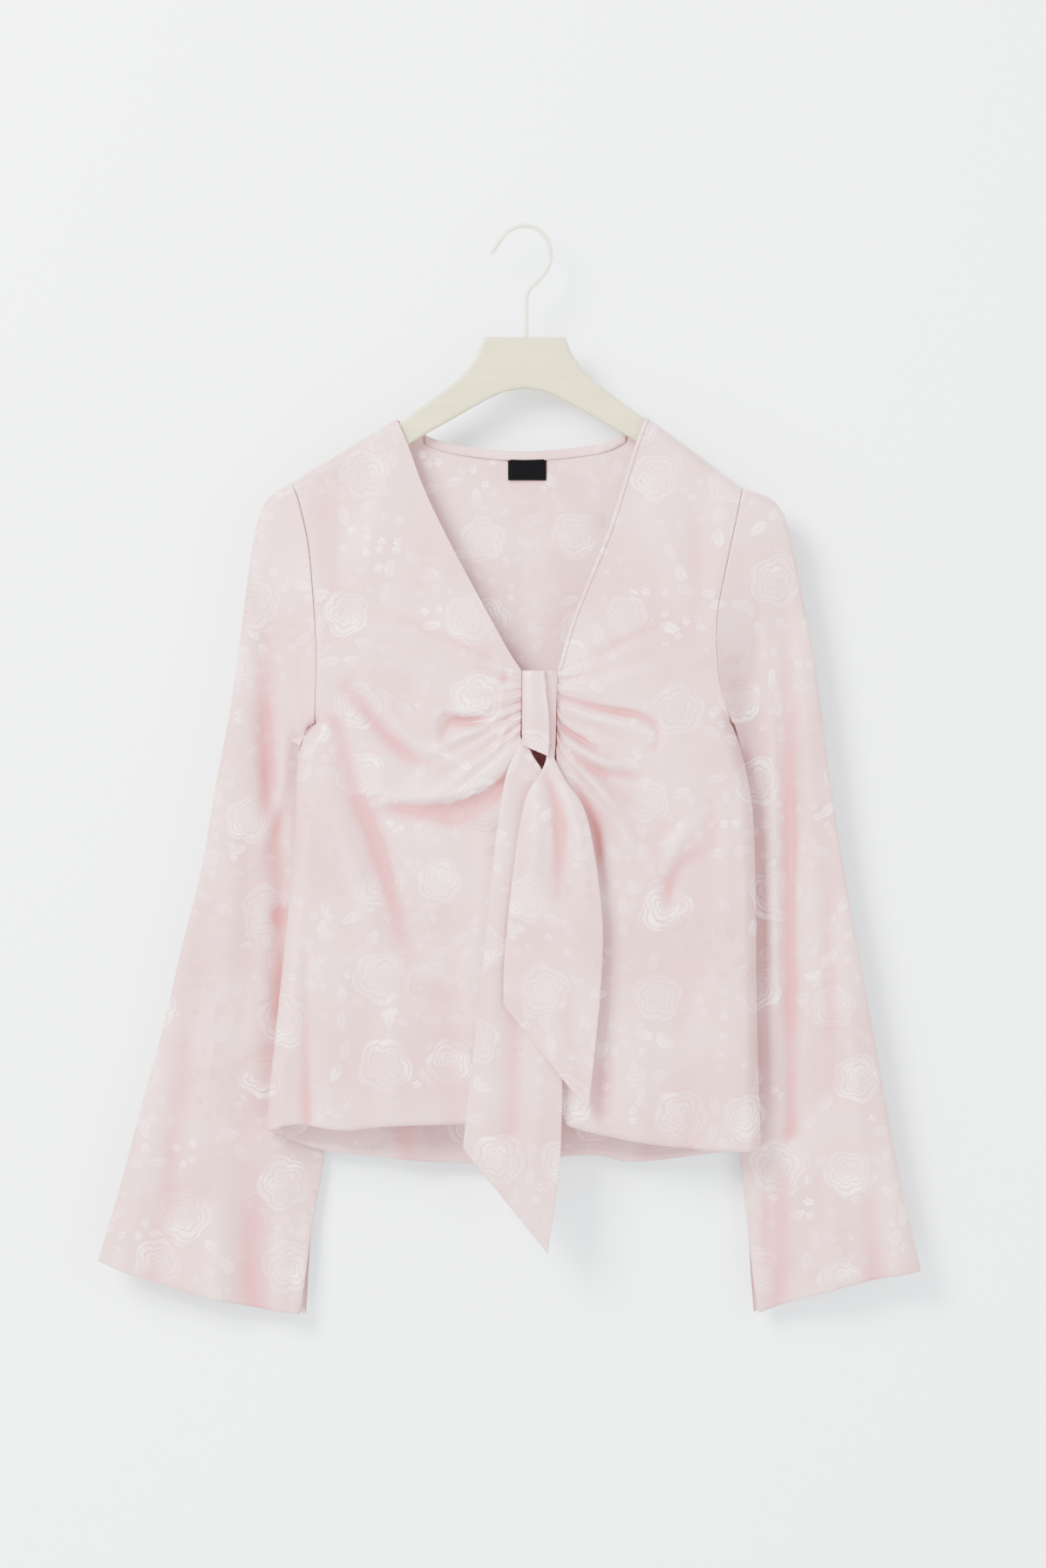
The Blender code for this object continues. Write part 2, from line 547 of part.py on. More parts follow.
def make_sleeves(satin):
    right = sleeve_grid(SLEEVE_R, ARMHOLE_R, FOLDS_SLEEVE_R, FOLDS_SLEEVE_BACK_R, SLIT_GAP_R, CUFF_BOW_R, -1)
    left = sleeve_grid(SLEEVE_L, ARMHOLE_L, FOLDS_SLEEVE_L, FOLDS_SLEEVE_BACK_L, SLIT_GAP_L, CUFF_BOW_L, 1)
    for name, grid in (("sleeve_right", right), ("sleeve_left", left)):
        half = (grid.shape[1] - 1) // 2

        def outward(point, grid=grid, half=half):
            rings = grid[:, half] * 0.5 + grid[:, 0] * 0.5
            near = np.argmin(np.abs(rings[:, 2] - point[2]))
            return (0.0, point[1] - rings[near, 1], 0.0)

        shell(name, grid, outward, satin(name))


KNOT_AROUND = 20
KNOT_FLAT_X = 0.6       # under 1, the ring is squarer than an ellipse
KNOT_FLAT_Y = 0.8
TIE_BELLY = 1.5


def make_knot(satin):
    """The band wrapped round the gathers, open at its top and its bottom."""
    rings = []
    for z_left, z_right, left, right, front, back in KNOT_BAND:
        ring = []
        for k in range(KNOT_AROUND + 1):
            angle = 2 * math.pi * k / KNOT_AROUND
            c, s = math.cos(angle), math.sin(angle)
            u = 0.5 + 0.5 * math.copysign(abs(c) ** KNOT_FLAT_X, c)
            w = 0.5 + 0.5 * math.copysign(abs(s) ** KNOT_FLAT_Y, s)
            ring.append((left + (right - left) * u, back + (front - back) * w, z_left + (z_right - z_left) * u))
        rings.append(ring)
    grid = np.array(rings)
    middle = grid[:, :-1].mean(axis=(0, 1))

    def outward(point):
        return (point[0] - middle[0], point[1] - middle[1], 0.0)

    shell("knot_band", grid, outward, satin("knot_band"))


def make_tie(name, tie, rows, columns, satin):
    """One tie end: a strip between two edges with a slanted end."""
    left = smooth(tie["left"], rows)
    right = smooth(tie["right"], rows)
    across = np.linspace(0, 1, columns + 1)[None, :, None]
    flat = left[:, None] * (1 - across) + right[:, None] * across
    down = np.linspace(0, 1, rows + 1)
    places, depths = zip(*tie["y"])
    depth = -np.interp(down, places, depths)[:, None] * np.ones((1, columns + 1))
    belly = TIE_BELLY * np.sin(np.linspace(0, math.pi, columns + 1))[None, :]
    depth = depth + belly * np.minimum(1.0, down * 6)[:, None]
    depth = depth + folded(flat, tie["fold"]) * np.minimum(1.0, down * 8)[:, None]
    shell(name, lifted(flat, -depth), forward, satin(name))


def make_hanger():
    paint = finish("hanger_cream", (0.76, 0.73, 0.62), 0.5)
    half = np.vstack([smooth(HANGER_TOP, 14), np.array(HANGER_END), smooth(HANGER_UNDER, 12)])
    half = half[half[:, 0] > 0.01]
    right = half
    left = half[::-1] * [-1, 1]
    outline = np.vstack([right, [(0.0, HANGER_UNDER[-1][1])], left])
    curve = bpy.data.curves.new("hanger_body", "CURVE")
    curve.dimensions = "2D"
    curve.fill_mode = "BOTH"
    curve.extrude = (HANGER_THICK / 2 - HANGER_ROUND) * MM
    curve.bevel_depth = HANGER_ROUND * MM
    curve.bevel_resolution = 1
    curve.offset = -HANGER_ROUND * MM
    spline = curve.splines.new("POLY")
    spline.points.add(len(outline) - 1)
    spline.use_cyclic_u = True
    for point, (x, z) in zip(spline.points, outline):
        point.co = (x * MM, z * MM, 0.0, 1.0)
    body = place("hanger_body", curve, paint)
    body.rotation_euler = (math.pi / 2, 0.0, 0.0)
    body.location = (HANGER_MIDDLE * MM, 0.0, 0.0)

    wire = finish("hook_cream", (0.78, 0.75, 0.65), 0.45)
    curve = bpy.data.curves.new("hanger_hook", "CURVE")
    curve.dimensions = "3D"
    curve.bevel_depth = HOOK_WIRE * MM
    curve.bevel_resolution = 2
    curve.use_fill_caps = True
    points = smooth(HOOK_RUN, 26)
    spline = curve.splines.new("POLY")
    spline.points.add(len(points) - 1)
    for point, (x, z) in zip(spline.points, points):
        point.co = (x * MM, 0.0, z * MM, 1.0)
    place("hanger_hook", curve, wire)


def main():
    clear_scene()
    collection = bpy.data.collections.new("blouse")
    bpy.context.scene.collection.children.link(collection)

    def satin(name):
        return finish(name + "_satin", (0.81, 0.67, 0.67), 0.34, sheen=0.2)

    left_front = make_fronts(satin)
    make_strip(left_front, satin)
    make_back(satin)
    make_binding(satin)
    make_label()
    make_sleeves(satin)
    make_knot(satin)
    make_tie("tie_long", TIE_LONG, 24, 6, satin)
    make_tie("tie_short", TIE_SHORT, 22, 7, satin)
    make_hanger()


main()
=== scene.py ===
"""The blouse's looks: thin satin shells on the frame's solids, hems, knot, hanger and light.

The frame is +X to the wearer's left, -Y to the front and +Z up, with its origin at the
underside of the hook's crown. Cloth sizes here are millimetres until a mesh is made.
"""
import math

import bmesh
import bpy
import numpy as np
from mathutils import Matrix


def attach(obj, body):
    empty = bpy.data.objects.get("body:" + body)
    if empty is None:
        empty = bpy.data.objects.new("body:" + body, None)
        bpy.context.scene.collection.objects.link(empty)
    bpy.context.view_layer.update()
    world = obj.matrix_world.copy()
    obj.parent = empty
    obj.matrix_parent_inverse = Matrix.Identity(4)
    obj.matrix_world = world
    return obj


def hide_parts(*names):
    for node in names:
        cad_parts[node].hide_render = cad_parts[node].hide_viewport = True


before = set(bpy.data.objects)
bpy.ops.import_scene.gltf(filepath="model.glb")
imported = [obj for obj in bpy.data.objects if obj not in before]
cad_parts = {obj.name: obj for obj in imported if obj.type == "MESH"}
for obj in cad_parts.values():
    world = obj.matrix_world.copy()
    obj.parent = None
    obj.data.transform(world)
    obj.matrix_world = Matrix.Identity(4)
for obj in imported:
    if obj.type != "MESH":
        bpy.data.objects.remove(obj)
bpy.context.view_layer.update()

MM = 0.001
CLOTH = 0.5
SEAM = 0.35
MERGE = 0.00002
# Stored as the distance to a trim or seam where a piece has none
NONE_NEAR = 99.0

# Garment landmarks seen from the front (x, z)
NECK_R = (-106.6, -157.2)
NECK_L = (99.4, -155.2)
SHOULDER_R = (-193.0, -210.0)
SHOULDER_L = (178.6, -214.0)
UNDERARM_R = (-173.5, -409.0)
UNDERARM_L = (169.0, -407.5)

# Edges of the pieces (x, z), top to bottom
V_EDGE_R = [NECK_R, (-97.0, -180.0), (-81.5, -221.0), (-54.7, -275.0), (-17.3, -344.0), (-3.4, -366.0)]
V_EDGE_L = [NECK_L, (90.0, -180.0), (79.0, -215.0), (65.5, -256.0), (39.0, -322.0), (26.0, -366.0)]
GATHER_R = [(-3.4, -366.0), (-4.3, -421.0)]
GATHER_L = [(26.0, -366.0), (25.4, -428.0)]
CENTRE_R = [(-4.3, -421.0), (-1.0, -500.0), (2.0, -620.0), (5.0, -737.0)]
CENTRE_L = [(25.4, -428.0), (24.0, -520.0), (27.0, -640.0), (30.0, -731.0)]
ARMHOLE_R = [SHOULDER_R, (-187.0, -225.0), (-179.0, -260.0), (-175.0, -300.0), (-172.0, -351.0), UNDERARM_R]
ARMHOLE_L = [SHOULDER_L, (175.0, -233.0), (166.0, -275.0), (157.0, -325.0), (159.5, -377.0), UNDERARM_L]
SIDE_R = [UNDERARM_R, (-181.0, -416.0), (-188.0, -438.0), (-191.0, -509.0), (-199.0, -593.0),
          (-209.0, -688.0), (-214.6, -744.5)]
SIDE_L = [UNDERARM_L, (177.0, -429.0), (187.0, -477.0), (190.0, -550.0), (191.0, -650.0), (194.4, -761.0)]
HEM_FRONT_R = [(5.0, -737.0), (-50.0, -738.0), (-114.0, -739.4), (-148.0, -743.0), (-188.0, -738.0),
               (-214.6, -744.5)]
HEM_FRONT_L = [(30.0, -731.0), (39.0, -740.5), (89.0, -752.0), (141.0, -758.5), (194.4, -761.0)]
HEM_BACK = [(-214.6, -744.5), (-176.0, -760.0), (-120.0, -768.0), (-45.0, -773.0), (51.0, -766.0),
            (89.0, -772.0), (153.0, -765.0), (194.4, -761.0)]
NECK_BACK = [NECK_R, (-92.0, -165.0), (-62.0, -177.0), (-1.0, -183.0), (60.5, -177.0), (87.0, -165.0), NECK_L]

# How far the outer face of the front and the back stands from the side seams, down the torso
DEPTH = {
    "z": [-800.0, -600.0, -440.0, -380.0, -300.0, -215.0, -150.0],
    "front": [21.0, 23.0, 26.0, 26.0, 20.0, 12.5, 9.5],
    "back": [12.0, 12.0, 12.5, 13.0, 13.0, 12.5, 11.5],
}
ROUND_SHOULDER = 8.0
ROUND_SIDE = 14.0
SIDE_LIP = 0.5
KNOT = (12.0, -396.0)
KNOT_HOLLOW = (4.0, 34.0)

# Folds: line (x, z), height at its start, middle and end (out is positive),
# width to the left and to the right of its direction
FOLDS_R = [
    ([(-4, -421), (-23, -448), (-59, -467), (-113, -468)], (2.0, 8.0, 2.0), 5.5, 24.0),
    ([(-16, -456), (-60, -480), (-116, -479)], (-1.5, -3.4, -1.0), 12.0, 6.0),
    ([(-6, -390), (-29, -399), (-53, -399), (-68, -397), (-76, -410), (-73, -428)],
     (1.0, 4.0, 1.0), 4.0, 20.0),
    ([(-14, -405), (-40, -408), (-60, -408), (-68, -418)], (-1.0, -3.4, -1.0), 5.0, 5.0),
    ([(-8, -395), (-30, -411), (-53, -421), (-72, -430)], (0.5, 3.0, 1.5), 4.5, 4.5),
    ([(-8, -402), (-19, -418), (-24, -432)], (0.6, 2.0, 0.8), 3.0, 3.0),
    ([(-5, -412), (-16, -433), (-30, -450)], (0.6, 1.8, 0.6), 3.0, 3.6),
    ([(-41, -458), (-84, -442), (-113, -420), (-146, -381)], (0.0, -3.2, -1.5), 9.0, 11.0),
    ([(-30, -440), (-70, -436), (-104, -414), (-132, -376)], (0.4, 1.8, 0.6), 7.0, 7.0),
    ([(-153, -411), (-139, -469), (-121, -511), (-96, -603)], (-2.5, -4.2, -1.0), 10.0, 12.0),
    ([(-168, -420), (-158, -490), (-140, -540), (-120, -640)], (0.6, 2.0, 0.5), 9.0, 9.0),
    ([(-12, -374), (-44, -352), (-84, -330), (-128, -318)], (-0.8, -1.4, -0.4), 8.0, 8.0),
    ([(-8, -381), (-40, -372), (-92, -362), (-140, -356)], (0.8, 1.8, 0.6), 9.0, 9.0),
    ([(-17, -372), (-19, -378)], (-1.6, -1.8, -1.2), 4.0, 4.0),
    ([(-100, -180), (-118, -236), (-134, -300)], (0.2, 1.2, 0.2), 14.0, 12.0),
    ([(-150, -205), (-158, -262), (-152, -330)], (-0.4, -1.4, -0.4), 10.0, 12.0),
    ([(-183, -560), (-181, -640), (-179, -736)], (0.0, -1.6, -2.4), 5.0, 7.0),
    ([(-150, -600), (-160, -680), (-162, -742)], (0.2, 1.4, 1.6), 13.0, 11.0),
    ([(-60, -520), (-66, -620), (-60, -738)], (-0.5, -1.6, -1.2), 18.0, 16.0),
    ([(-28, -500), (-30, -600), (-36, -738)], (0.4, 1.4, 1.2), 12.0, 14.0),
    ([(-112, -560), (-108, -650), (-112, -740)], (0.3, 1.0, 1.6), 15.0, 12.0),
]
FOLDS_L = [
    ([(30, -388), (49, -394), (74, -399), (92, -402), (107, -411), (107, -428), (99, -433)],
     (-1.0, -3.2, -0.8), 4.0, 5.0),
    ([(30, -397), (52, -403), (76, -409), (94, -414)], (1.0, 3.4, 1.0), 5.5, 5.0),
    ([(30, -413), (42, -420), (58, -431)], (-1.0, -2.6, -1.0), 3.6, 3.6),
    ([(30, -425), (50, -434), (67, -441), (86, -443)], (1.0, 3.5, 1.0), 5.0, 4.5),
    ([(36, -434), (56, -447), (94, -454)], (-1.0, -2.6, -1.0), 5.0, 5.0),
    ([(30, -432), (46, -449), (76, -485), (86, -511)], (1.0, 4.6, 1.5), 7.0, 7.0),
    ([(42, -458), (56, -498), (63, -540)], (-1.0, -3.2, -1.0), 7.0, 7.0),
    ([(34, -450), (44, -500), (52, -560)], (0.5, 1.8, 0.6), 6.0, 6.0),
    ([(30, -380), (58, -376), (96, -366), (132, -352)], (0.8, 2.0, 0.6), 7.0, 8.0),
    ([(30, -374), (52, -362), (84, -340), (120, -322)], (-0.6, -1.4, -0.4), 7.0, 7.0),
    ([(92, -452), (112, -462), (134, -462)], (0.6, 1.8, 0.4), 7.0, 8.0),
    ([(139, -490), (122, -508), (116, -526)], (1.0, 3.0, 1.0), 7.0, 7.0),
    ([(141, -516), (122, -530), (112, -575)], (-1.0, -2.6, -1.0), 8.0, 8.0),
    ([(152, -475), (153, -505)], (-1.0, -1.6, -0.8), 9.0, 9.0),
    ([(160, -430), (164, -520), (160, -620)], (0.3, 1.6, 0.4), 9.0, 9.0),
    ([(100, -190), (112, -250), (128, -310)], (0.3, 1.3, 0.3), 12.0, 12.0),
    ([(138, -220), (142, -280), (136, -340)], (-0.5, -1.5, -0.5), 10.0, 10.0),
    ([(88, -560), (92, -660), (90, -752)], (0.2, 1.5, 1.8), 16.0, 14.0),
    ([(64, -600), (62, -690), (64, -746)], (-0.3, -1.4, -1.6), 12.0, 12.0),
    ([(128, -600), (132, -690), (134, -757)], (-0.4, -1.4, -1.6), 14.0, 14.0),
    ([(166, -620), (168, -700), (170, -760)], (0.2, 1.4, 1.8), 12.0, 10.0),
]
FOLDS_BACK = [
    ([(0, -255), (2, -345)], (1.5, 3.0, 0.5), 14.0, 14.0),
    ([(-60, -560), (-66, -772)], (0.0, 2.5, 4.0), 22.0, 22.0),
    ([(84, -600), (86, -772)], (0.0, 2.0, 4.0), 10.0, 14.0),
    ([(18, -620), (20, -772)], (0.0, -2.0, -3.0), 20.0, 20.0),
    ([(-140, -240), (-118, -330), (-104, -430)], (-0.8, -2.2, -0.5), 14.0, 16.0),
    ([(128, -240), (112, -330), (100, -440)], (-0.8, -2.2, -0.5), 14.0, 16.0),
    ([(-150, -420), (-128, -560), (-124, -765)], (0.5, 2.2, 2.6), 14.0, 16.0),
    ([(146, -430), (138, -560), (142, -764)], (0.4, 1.8, 2.2), 14.0, 13.0),
    ([(-34, -360), (-28, -520), (-20, -640)], (-0.4, -1.8, -0.4), 16.0, 16.0),
    ([(44, -330), (52, -470), (56, -600)], (0.3, 1.6, 0.3), 15.0, 15.0),
    ([(-96, -600), (-98, -768)], (0.0, -1.6, -2.6), 14.0, 14.0),
    ([(-70, -196), (-20, -214), (30, -216), (74, -198)], (0.3, 1.2, 0.3), 8.0, 9.0),
]
PLEATS = 6
PLEAT_RISE = 1.4
PLEAT_FADE = 62.0

# Sleeve rings from the armhole down: inner end (x, y, z), outer end (x, y, z),
# half depth near each end, and how much of the armhole's own shape is left
SLEEVE_R = [
    ((-173.5, 0.0, -409.0), (-193.0, 0.0, -210.0), 8.0, 8.0, 1.00),
    ((-177.5, 5.0, -411.5), (-212.0, 0.0, -222.0), 5.0, 9.0, 0.78),
    ((-181.0, 10.5, -417.0), (-222.0, 0.0, -244.0), 4.5, 10.0, 0.52),
    ((-182.0, 15.0, -427.0), (-229.0, 0.0, -284.0), 4.0, 10.0, 0.28),
    ((-180.0, 18.5, -443.0), (-236.0, 0.0, -340.0), 3.5, 10.0, 0.12),
    ((-176.0, 20.0, -468.0), (-245.0, 0.0, -402.0), 3.5, 10.0, 0.03),
    ((-171.0, 21.0, -505.0), (-256.0, 1.0, -459.0), 3.5, 9.5, 0.0),
    ((-169.0, 21.5, -565.0), (-268.0, 2.0, -528.5), 3.5, 9.0, 0.0),
    ((-167.0, 22.5, -630.0), (-283.0, 3.0, -588.0), 3.5, 8.5, 0.0),
    ((-166.0, 23.0, -698.0), (-300.0, 4.0, -659.5), 3.5, 8.5, 0.0),
    ((-168.0, 23.0, -768.0), (-319.0, 5.0, -729.0), 4.0, 8.5, 0.0),
    ((-177.0, 20.0, -822.0), (-335.5, 5.0, -791.0), 5.0, 9.5, 0.0),
    ((-182.0, 17.0, -862.0), (-345.5, 4.0, -825.0), 5.5, 10.0, 0.0),
    ((-187.0, 15.0, -898.0), (-353.5, 3.0, -852.5), 6.0, 10.5, 0.0),
]
SLEEVE_L = [
    ((169.0, 0.0, -407.5), (178.6, 0.0, -214.0), 8.0, 8.0, 1.00),
    ((171.5, 5.0, -410.5), (205.0, 0.0, -225.0), 5.0, 9.0, 0.78),
    ((173.5, 10.5, -416.5), (218.0, 0.0, -250.0), 4.5, 10.0, 0.52),
    ((175.5, 15.0, -427.0), (226.0, 0.0, -288.0), 4.0, 10.0, 0.28),
    ((176.5, 18.5, -443.0), (236.0, 0.0, -340.0), 3.5, 10.0, 0.12),
    ((175.0, 20.0, -468.0), (245.0, 0.0, -402.0), 3.5, 10.0, 0.03),
    ((172.0, 20.5, -505.0), (253.0, 1.0, -465.0), 3.5, 9.5, 0.0),
    ((171.0, 20.5, -565.0), (264.0, 1.0, -536.0), 3.5, 9.0, 0.0),
    ((171.0, 20.5, -630.0), (275.0, 0.0, -596.0), 3.5, 9.0, 0.0),
    ((173.0, 20.5, -698.0), (288.0, 0.0, -668.0), 3.5, 9.0, 0.0),
    ((178.0, 20.0, -766.0), (301.0, 2.0, -740.0), 4.0, 9.0, 0.0),
    ((184.0, 18.0, -822.0), (313.0, 3.0, -800.0), 5.0, 9.5, 0.0),
    ((188.0, 16.0, -862.0), (321.0, 3.0, -835.0), 5.5, 10.0, 0.0),
    ((193.0, 15.0, -897.0), (327.0, 3.0, -861.0), 6.0, 10.5, 0.0),
]
SLIT_TOP_Z = -819.0
SLIT_GAP_R = 8.0
SLIT_GAP_L = 6.4
CUFF_BOW_R = 6.0
CUFF_BOW_L = -4.0

FOLDS_SLEEVE_R = [
    ([(-210, -272), (-214, -407), (-209, -473), (-202, -569)], (-2.0, -5.2, -2.0), 10.0, 12.0),
    ([(-202, -569), (-204, -641), (-214, -724)], (-2.0, -3.4, -1.0), 10.0, 12.0),
    ([(-240, -420), (-244, -600), (-262, -760)], (0.5, 3.0, 1.0), 18.0, 18.0),
    ([(-225, -760), (-225, -898)], (0.0, -3.0, -4.0), 20.0, 20.0),
    ([(-197, -243), (-192, -337), (-184, -384)], (-1.2, -2.4, -1.0), 5.0, 6.0),
    ([(-204, -236), (-222, -300), (-226, -380)], (0.6, 1.8, 0.4), 8.0, 8.0),
    ([(-196, -420), (-205, -470), (-222, -520)], (1.0, 2.2, 0.4), 6.0, 7.0),
    ([(-226, -480), (-232, -600), (-240, -700)], (-0.4, -2.0, -0.4), 10.0, 10.0),
    ([(-262, -560), (-284, -700), (-306, -860)], (-0.3, -2.0, -2.4), 14.0, 14.0),
    ([(-290, -660), (-316, -780), (-336, -862)], (0.3, 1.8, 2.4), 12.0, 10.0),
    ([(-248, -770), (-262, -884)], (0.4, 2.6, 3.2), 14.0, 14.0),
    ([(-198, -770), (-204, -898)], (0.3, 1.8, 2.2), 8.0, 8.0),
]
FOLDS_SLEEVE_L = [
    ([(208, -262), (217, -366), (219, -475), (220, -747)], (-1.0, -4.2, -2.0), 7.0, 9.0),
    ([(196, -262), (203, -402), (207, -639)], (1.0, 2.6, 1.0), 6.0, 6.0),
    ([(262, -560), (271, -693), (278, -790)], (0.0, 4.2, 1.0), 11.0, 11.0),
    ([(212, -740), (208, -897)], (0.0, -3.0, -3.5), 12.0, 12.0),
    ([(192, -246), (190, -330), (184, -392)], (-1.2, -2.4, -1.0), 5.0, 5.0),
    ([(226, -330), (234, -440), (240, -560)], (0.5, 2.4, 0.5), 9.0, 8.0),
    ([(246, -480), (252, -600), (254, -720)], (-0.5, -2.6, -0.5), 9.0, 9.0),
    ([(196, -470), (204, -560), (206, -700)], (0.4, 1.8, 0.6), 6.0, 7.0),
    ([(288, -690), (302, -780), (312, -866)], (0.2, 2.0, 2.4), 9.0, 9.0),
    ([(254, -740), (252, -880)], (0.3, 2.4, 2.8), 12.0, 12.0),
    ([(282, -780), (288, -872)], (-0.4, -2.0, -2.4), 10.0, 10.0),
    ([(197, -770), (199, -855)], (-0.6, -1.8, -1.2), 5.0, 5.0),
]
FOLDS_SLEEVE_BACK_R = [
    ([(-215, -300), (-222, -520), (-240, -760)], (-1.0, -4.0, -2.0), 15.0, 15.0),
    ([(-270, -600), (-290, -850)], (0.0, 3.0, 3.0), 18.0, 18.0),
    ([(-240, -360), (-252, -520), (-276, -700)], (0.4, 2.6, 0.6), 12.0, 12.0),
    ([(-200, -560), (-210, -720), (-214, -880)], (0.3, 2.2, 2.6), 12.0, 12.0),
    ([(-196, -250), (-206, -330), (-208, -400)], (0.4, 1.8, 0.4), 9.0, 9.0),
    ([(-250, -780), (-256, -882)], (-0.4, -2.4, -3.2), 14.0, 14.0),
]
FOLDS_SLEEVE_BACK_L = [
    ([(212, -300), (222, -520), (236, -760)], (-1.0, -4.0, -2.0), 15.0, 15.0),
    ([(258, -600), (280, -850)], (0.0, 3.0, 3.0), 18.0, 18.0),
    ([(236, -360), (246, -520), (258, -700)], (0.4, 2.4, 0.6), 12.0, 12.0),
    ([(200, -560), (206, -720), (208, -880)], (0.3, 2.0, 2.6), 11.0, 11.0),
    ([(194, -250), (202, -330), (206, -400)], (0.4, 1.6, 0.4), 9.0, 9.0),
    ([(240, -790), (246, -880)], (-0.4, -2.2, -3.0), 13.0, 13.0),
]

# Knot band, top to bottom: z at its left and right edge, x of both edges, front and back y
KNOT_BAND = [
    (-366.0, -366.0, -2.6, 24.8, -33.0, -18.0),
    (-378.0, -378.0, -3.0, 25.0, -35.5, -17.0),
    (-392.0, -392.0, -3.0, 25.0, -37.0, -16.5),
    (-406.0, -408.0, -3.0, 24.8, -37.5, -16.5),
    (-418.0, -424.0, -3.0, 24.4, -37.0, -16.5),
    (-427.0, -438.0, -2.4, 23.6, -36.0, -17.0),
]

# Tie ends: left edge and right edge (x, z) and depth (y) at both, top to bottom
TIE_LONG = {
    "left": [(-4.4, -421.0), (-9.0, -433.0), (-18.0, -461.0), (-28.0, -534.0), (-36.0, -616.0),
             (-45.0, -698.0), (-51.4, -757.0)],
    "right": [(0.5, -424.5), (6.0, -436.0), (14.0, -449.0), (24.0, -474.0), (30.0, -600.0), (29.5, -735.0),
              (25.5, -790.0), (18.0, -843.0)],
    "y": [(0.0, -27.5), (0.06, -31.0), (0.2, -34.5), (0.6, -31.0), (1.0, -29.0)],
    "fold": [([(4, -450), (-4, -560), (-12, -740)], (-1.0, -2.5, -1.5), 9.0, 12.0),
             ([(-12, -450), (-22, -560), (-32, -700)], (0.6, 1.6, 0.8), 7.0, 7.0),
             ([(14, -640), (8, -740), (6, -810)], (0.3, 1.4, 0.8), 10.0, 9.0)],
}
TIE_SHORT = {
    "left": [(16.6, -428.0), (16.9, -438.0), (12.5, -449.0), (0.0, -471.0), (-8.8, -520.0), (-17.0, -596.0),
             (-18.3, -639.4)],
    "right": [(21.4, -427.0), (22.6, -436.0), (32.0, -455.0), (50.0, -486.0), (62.0, -561.0), (61.5, -623.0),
              (51.5, -726.0)],
    "y": [(0.0, -31.0), (0.055, -32.0), (0.13, -38.0), (0.25, -41.0), (0.6, -37.0), (1.0, -35.0)],
    "fold": [([(17, -440), (27, -490), (27, -550)], (-1.5, -4.0, -0.8), 8.0, 7.0),
             ([(12, -448), (8, -490), (6, -540)], (0.6, 2.0, 0.6), 6.0, 6.0),
             ([(24, -446), (42, -490), (50, -560)], (0.6, 2.0, 0.6), 6.0, 7.0),
             ([(30, -600), (36, -660), (44, -706)], (0.0, -1.2, -0.6), 9.0, 9.0)],
}

BINDING_WIDE = 7.5
BINDING_REACH = 84.0
LABEL_X = (-14.8, 17.3)
LABEL_Z = (-189.6, -207.4)
STRIP_WIDE = 3.6
HEM_WIDE = 7.0
EDGE_WIDE = 4.0


CURVE_STEPS = 16
FINE_STEPS = 400


def curved(knots, count):
    """Rows on a smooth curve through the rows of knots, with that many steps between two."""
    ends = np.vstack([2 * knots[0] - knots[1], knots, 2 * knots[-1] - knots[-2]])
    dense = []
    for a, b, c, d in zip(ends, ends[1:], ends[2:], ends[3:]):
        for t in np.linspace(0, 1, count, endpoint=False):
            bend = (2 * a - 5 * b + 4 * c - d) * t * t
            dense.append(0.5 * (2 * b + (c - a) * t + bend + (3 * b - a - 3 * c + d) * t ** 3))
    dense.append(knots[-1])
    return np.array(dense)


def smooth(points, count, ease=1.0):
    """Points on a smooth curve through the given ones; ease over 1 crowds them at its start."""
    dense = curved(np.array(points, dtype=float), CURVE_STEPS)
    run = np.concatenate([[0], np.cumsum(np.linalg.norm(np.diff(dense, axis=0), axis=1))])
    places = run[-1] * np.linspace(0, 1, count + 1) ** ease
    return np.column_stack([np.interp(places, run, dense[:, k]) for k in range(dense.shape[1])])


def chain(*legs):
    """One edge made of several legs: points, number of steps and, on the first, the ease."""
    runs = [smooth(*leg) for leg in legs]
    return np.vstack([runs[0]] + [run[1:] for run in runs[1:]])


def split_at(points, z):
    """Cut a falling edge in two where it passes z."""
    fine = smooth(points, FINE_STEPS)
    cut = int(np.argmax(fine[:, 1] <= z))
    upper = np.vstack([fine[:cut:CURVE_STEPS], fine[cut]])
    lower = np.vstack([fine[cut::CURVE_STEPS], fine[-1]])
    return upper, lower


def reach(points, line):
    """Distance from each (x, z) point to a line, place along it from 0 to 1, and side."""
    knots = np.array(line, dtype=float)
    lengths = np.linalg.norm(np.diff(knots, axis=0), axis=1)
    total = lengths.sum()
    best = np.full(points.shape[:-1], 1e9)
    place = np.zeros_like(best)
    side = np.zeros_like(best)
    start = 0.0
    for a, b, length in zip(knots, knots[1:], lengths):
        if length < 1e-6:
            continue
        way = (b - a) / length
        off = points - a
        t = np.clip(off @ way, 0, length)
        away = off - t[..., None] * way
        far = np.linalg.norm(away, axis=-1)
        near = far < best
        turn = way[0] * off[..., 1] - way[1] * off[..., 0]
        best = np.where(near, far, best)
        place = np.where(near, (start + t) / total, place)
        side = np.where(near, np.sign(turn), side)
        start += length
    return best, place, side


def folded(points, folds):
    """Sum of the folds' heights at each (x, z) point."""
    total = np.zeros(points.shape[:-1])
    for line, heights, left, right in folds:
        far, place, side = reach(points, smooth(line, 14))
        height = np.interp(place, [0.0, 0.5, 1.0], heights)
        width = np.where(side > 0, left, right)
        total += height * np.exp(-(far / width) ** 2)
    return total


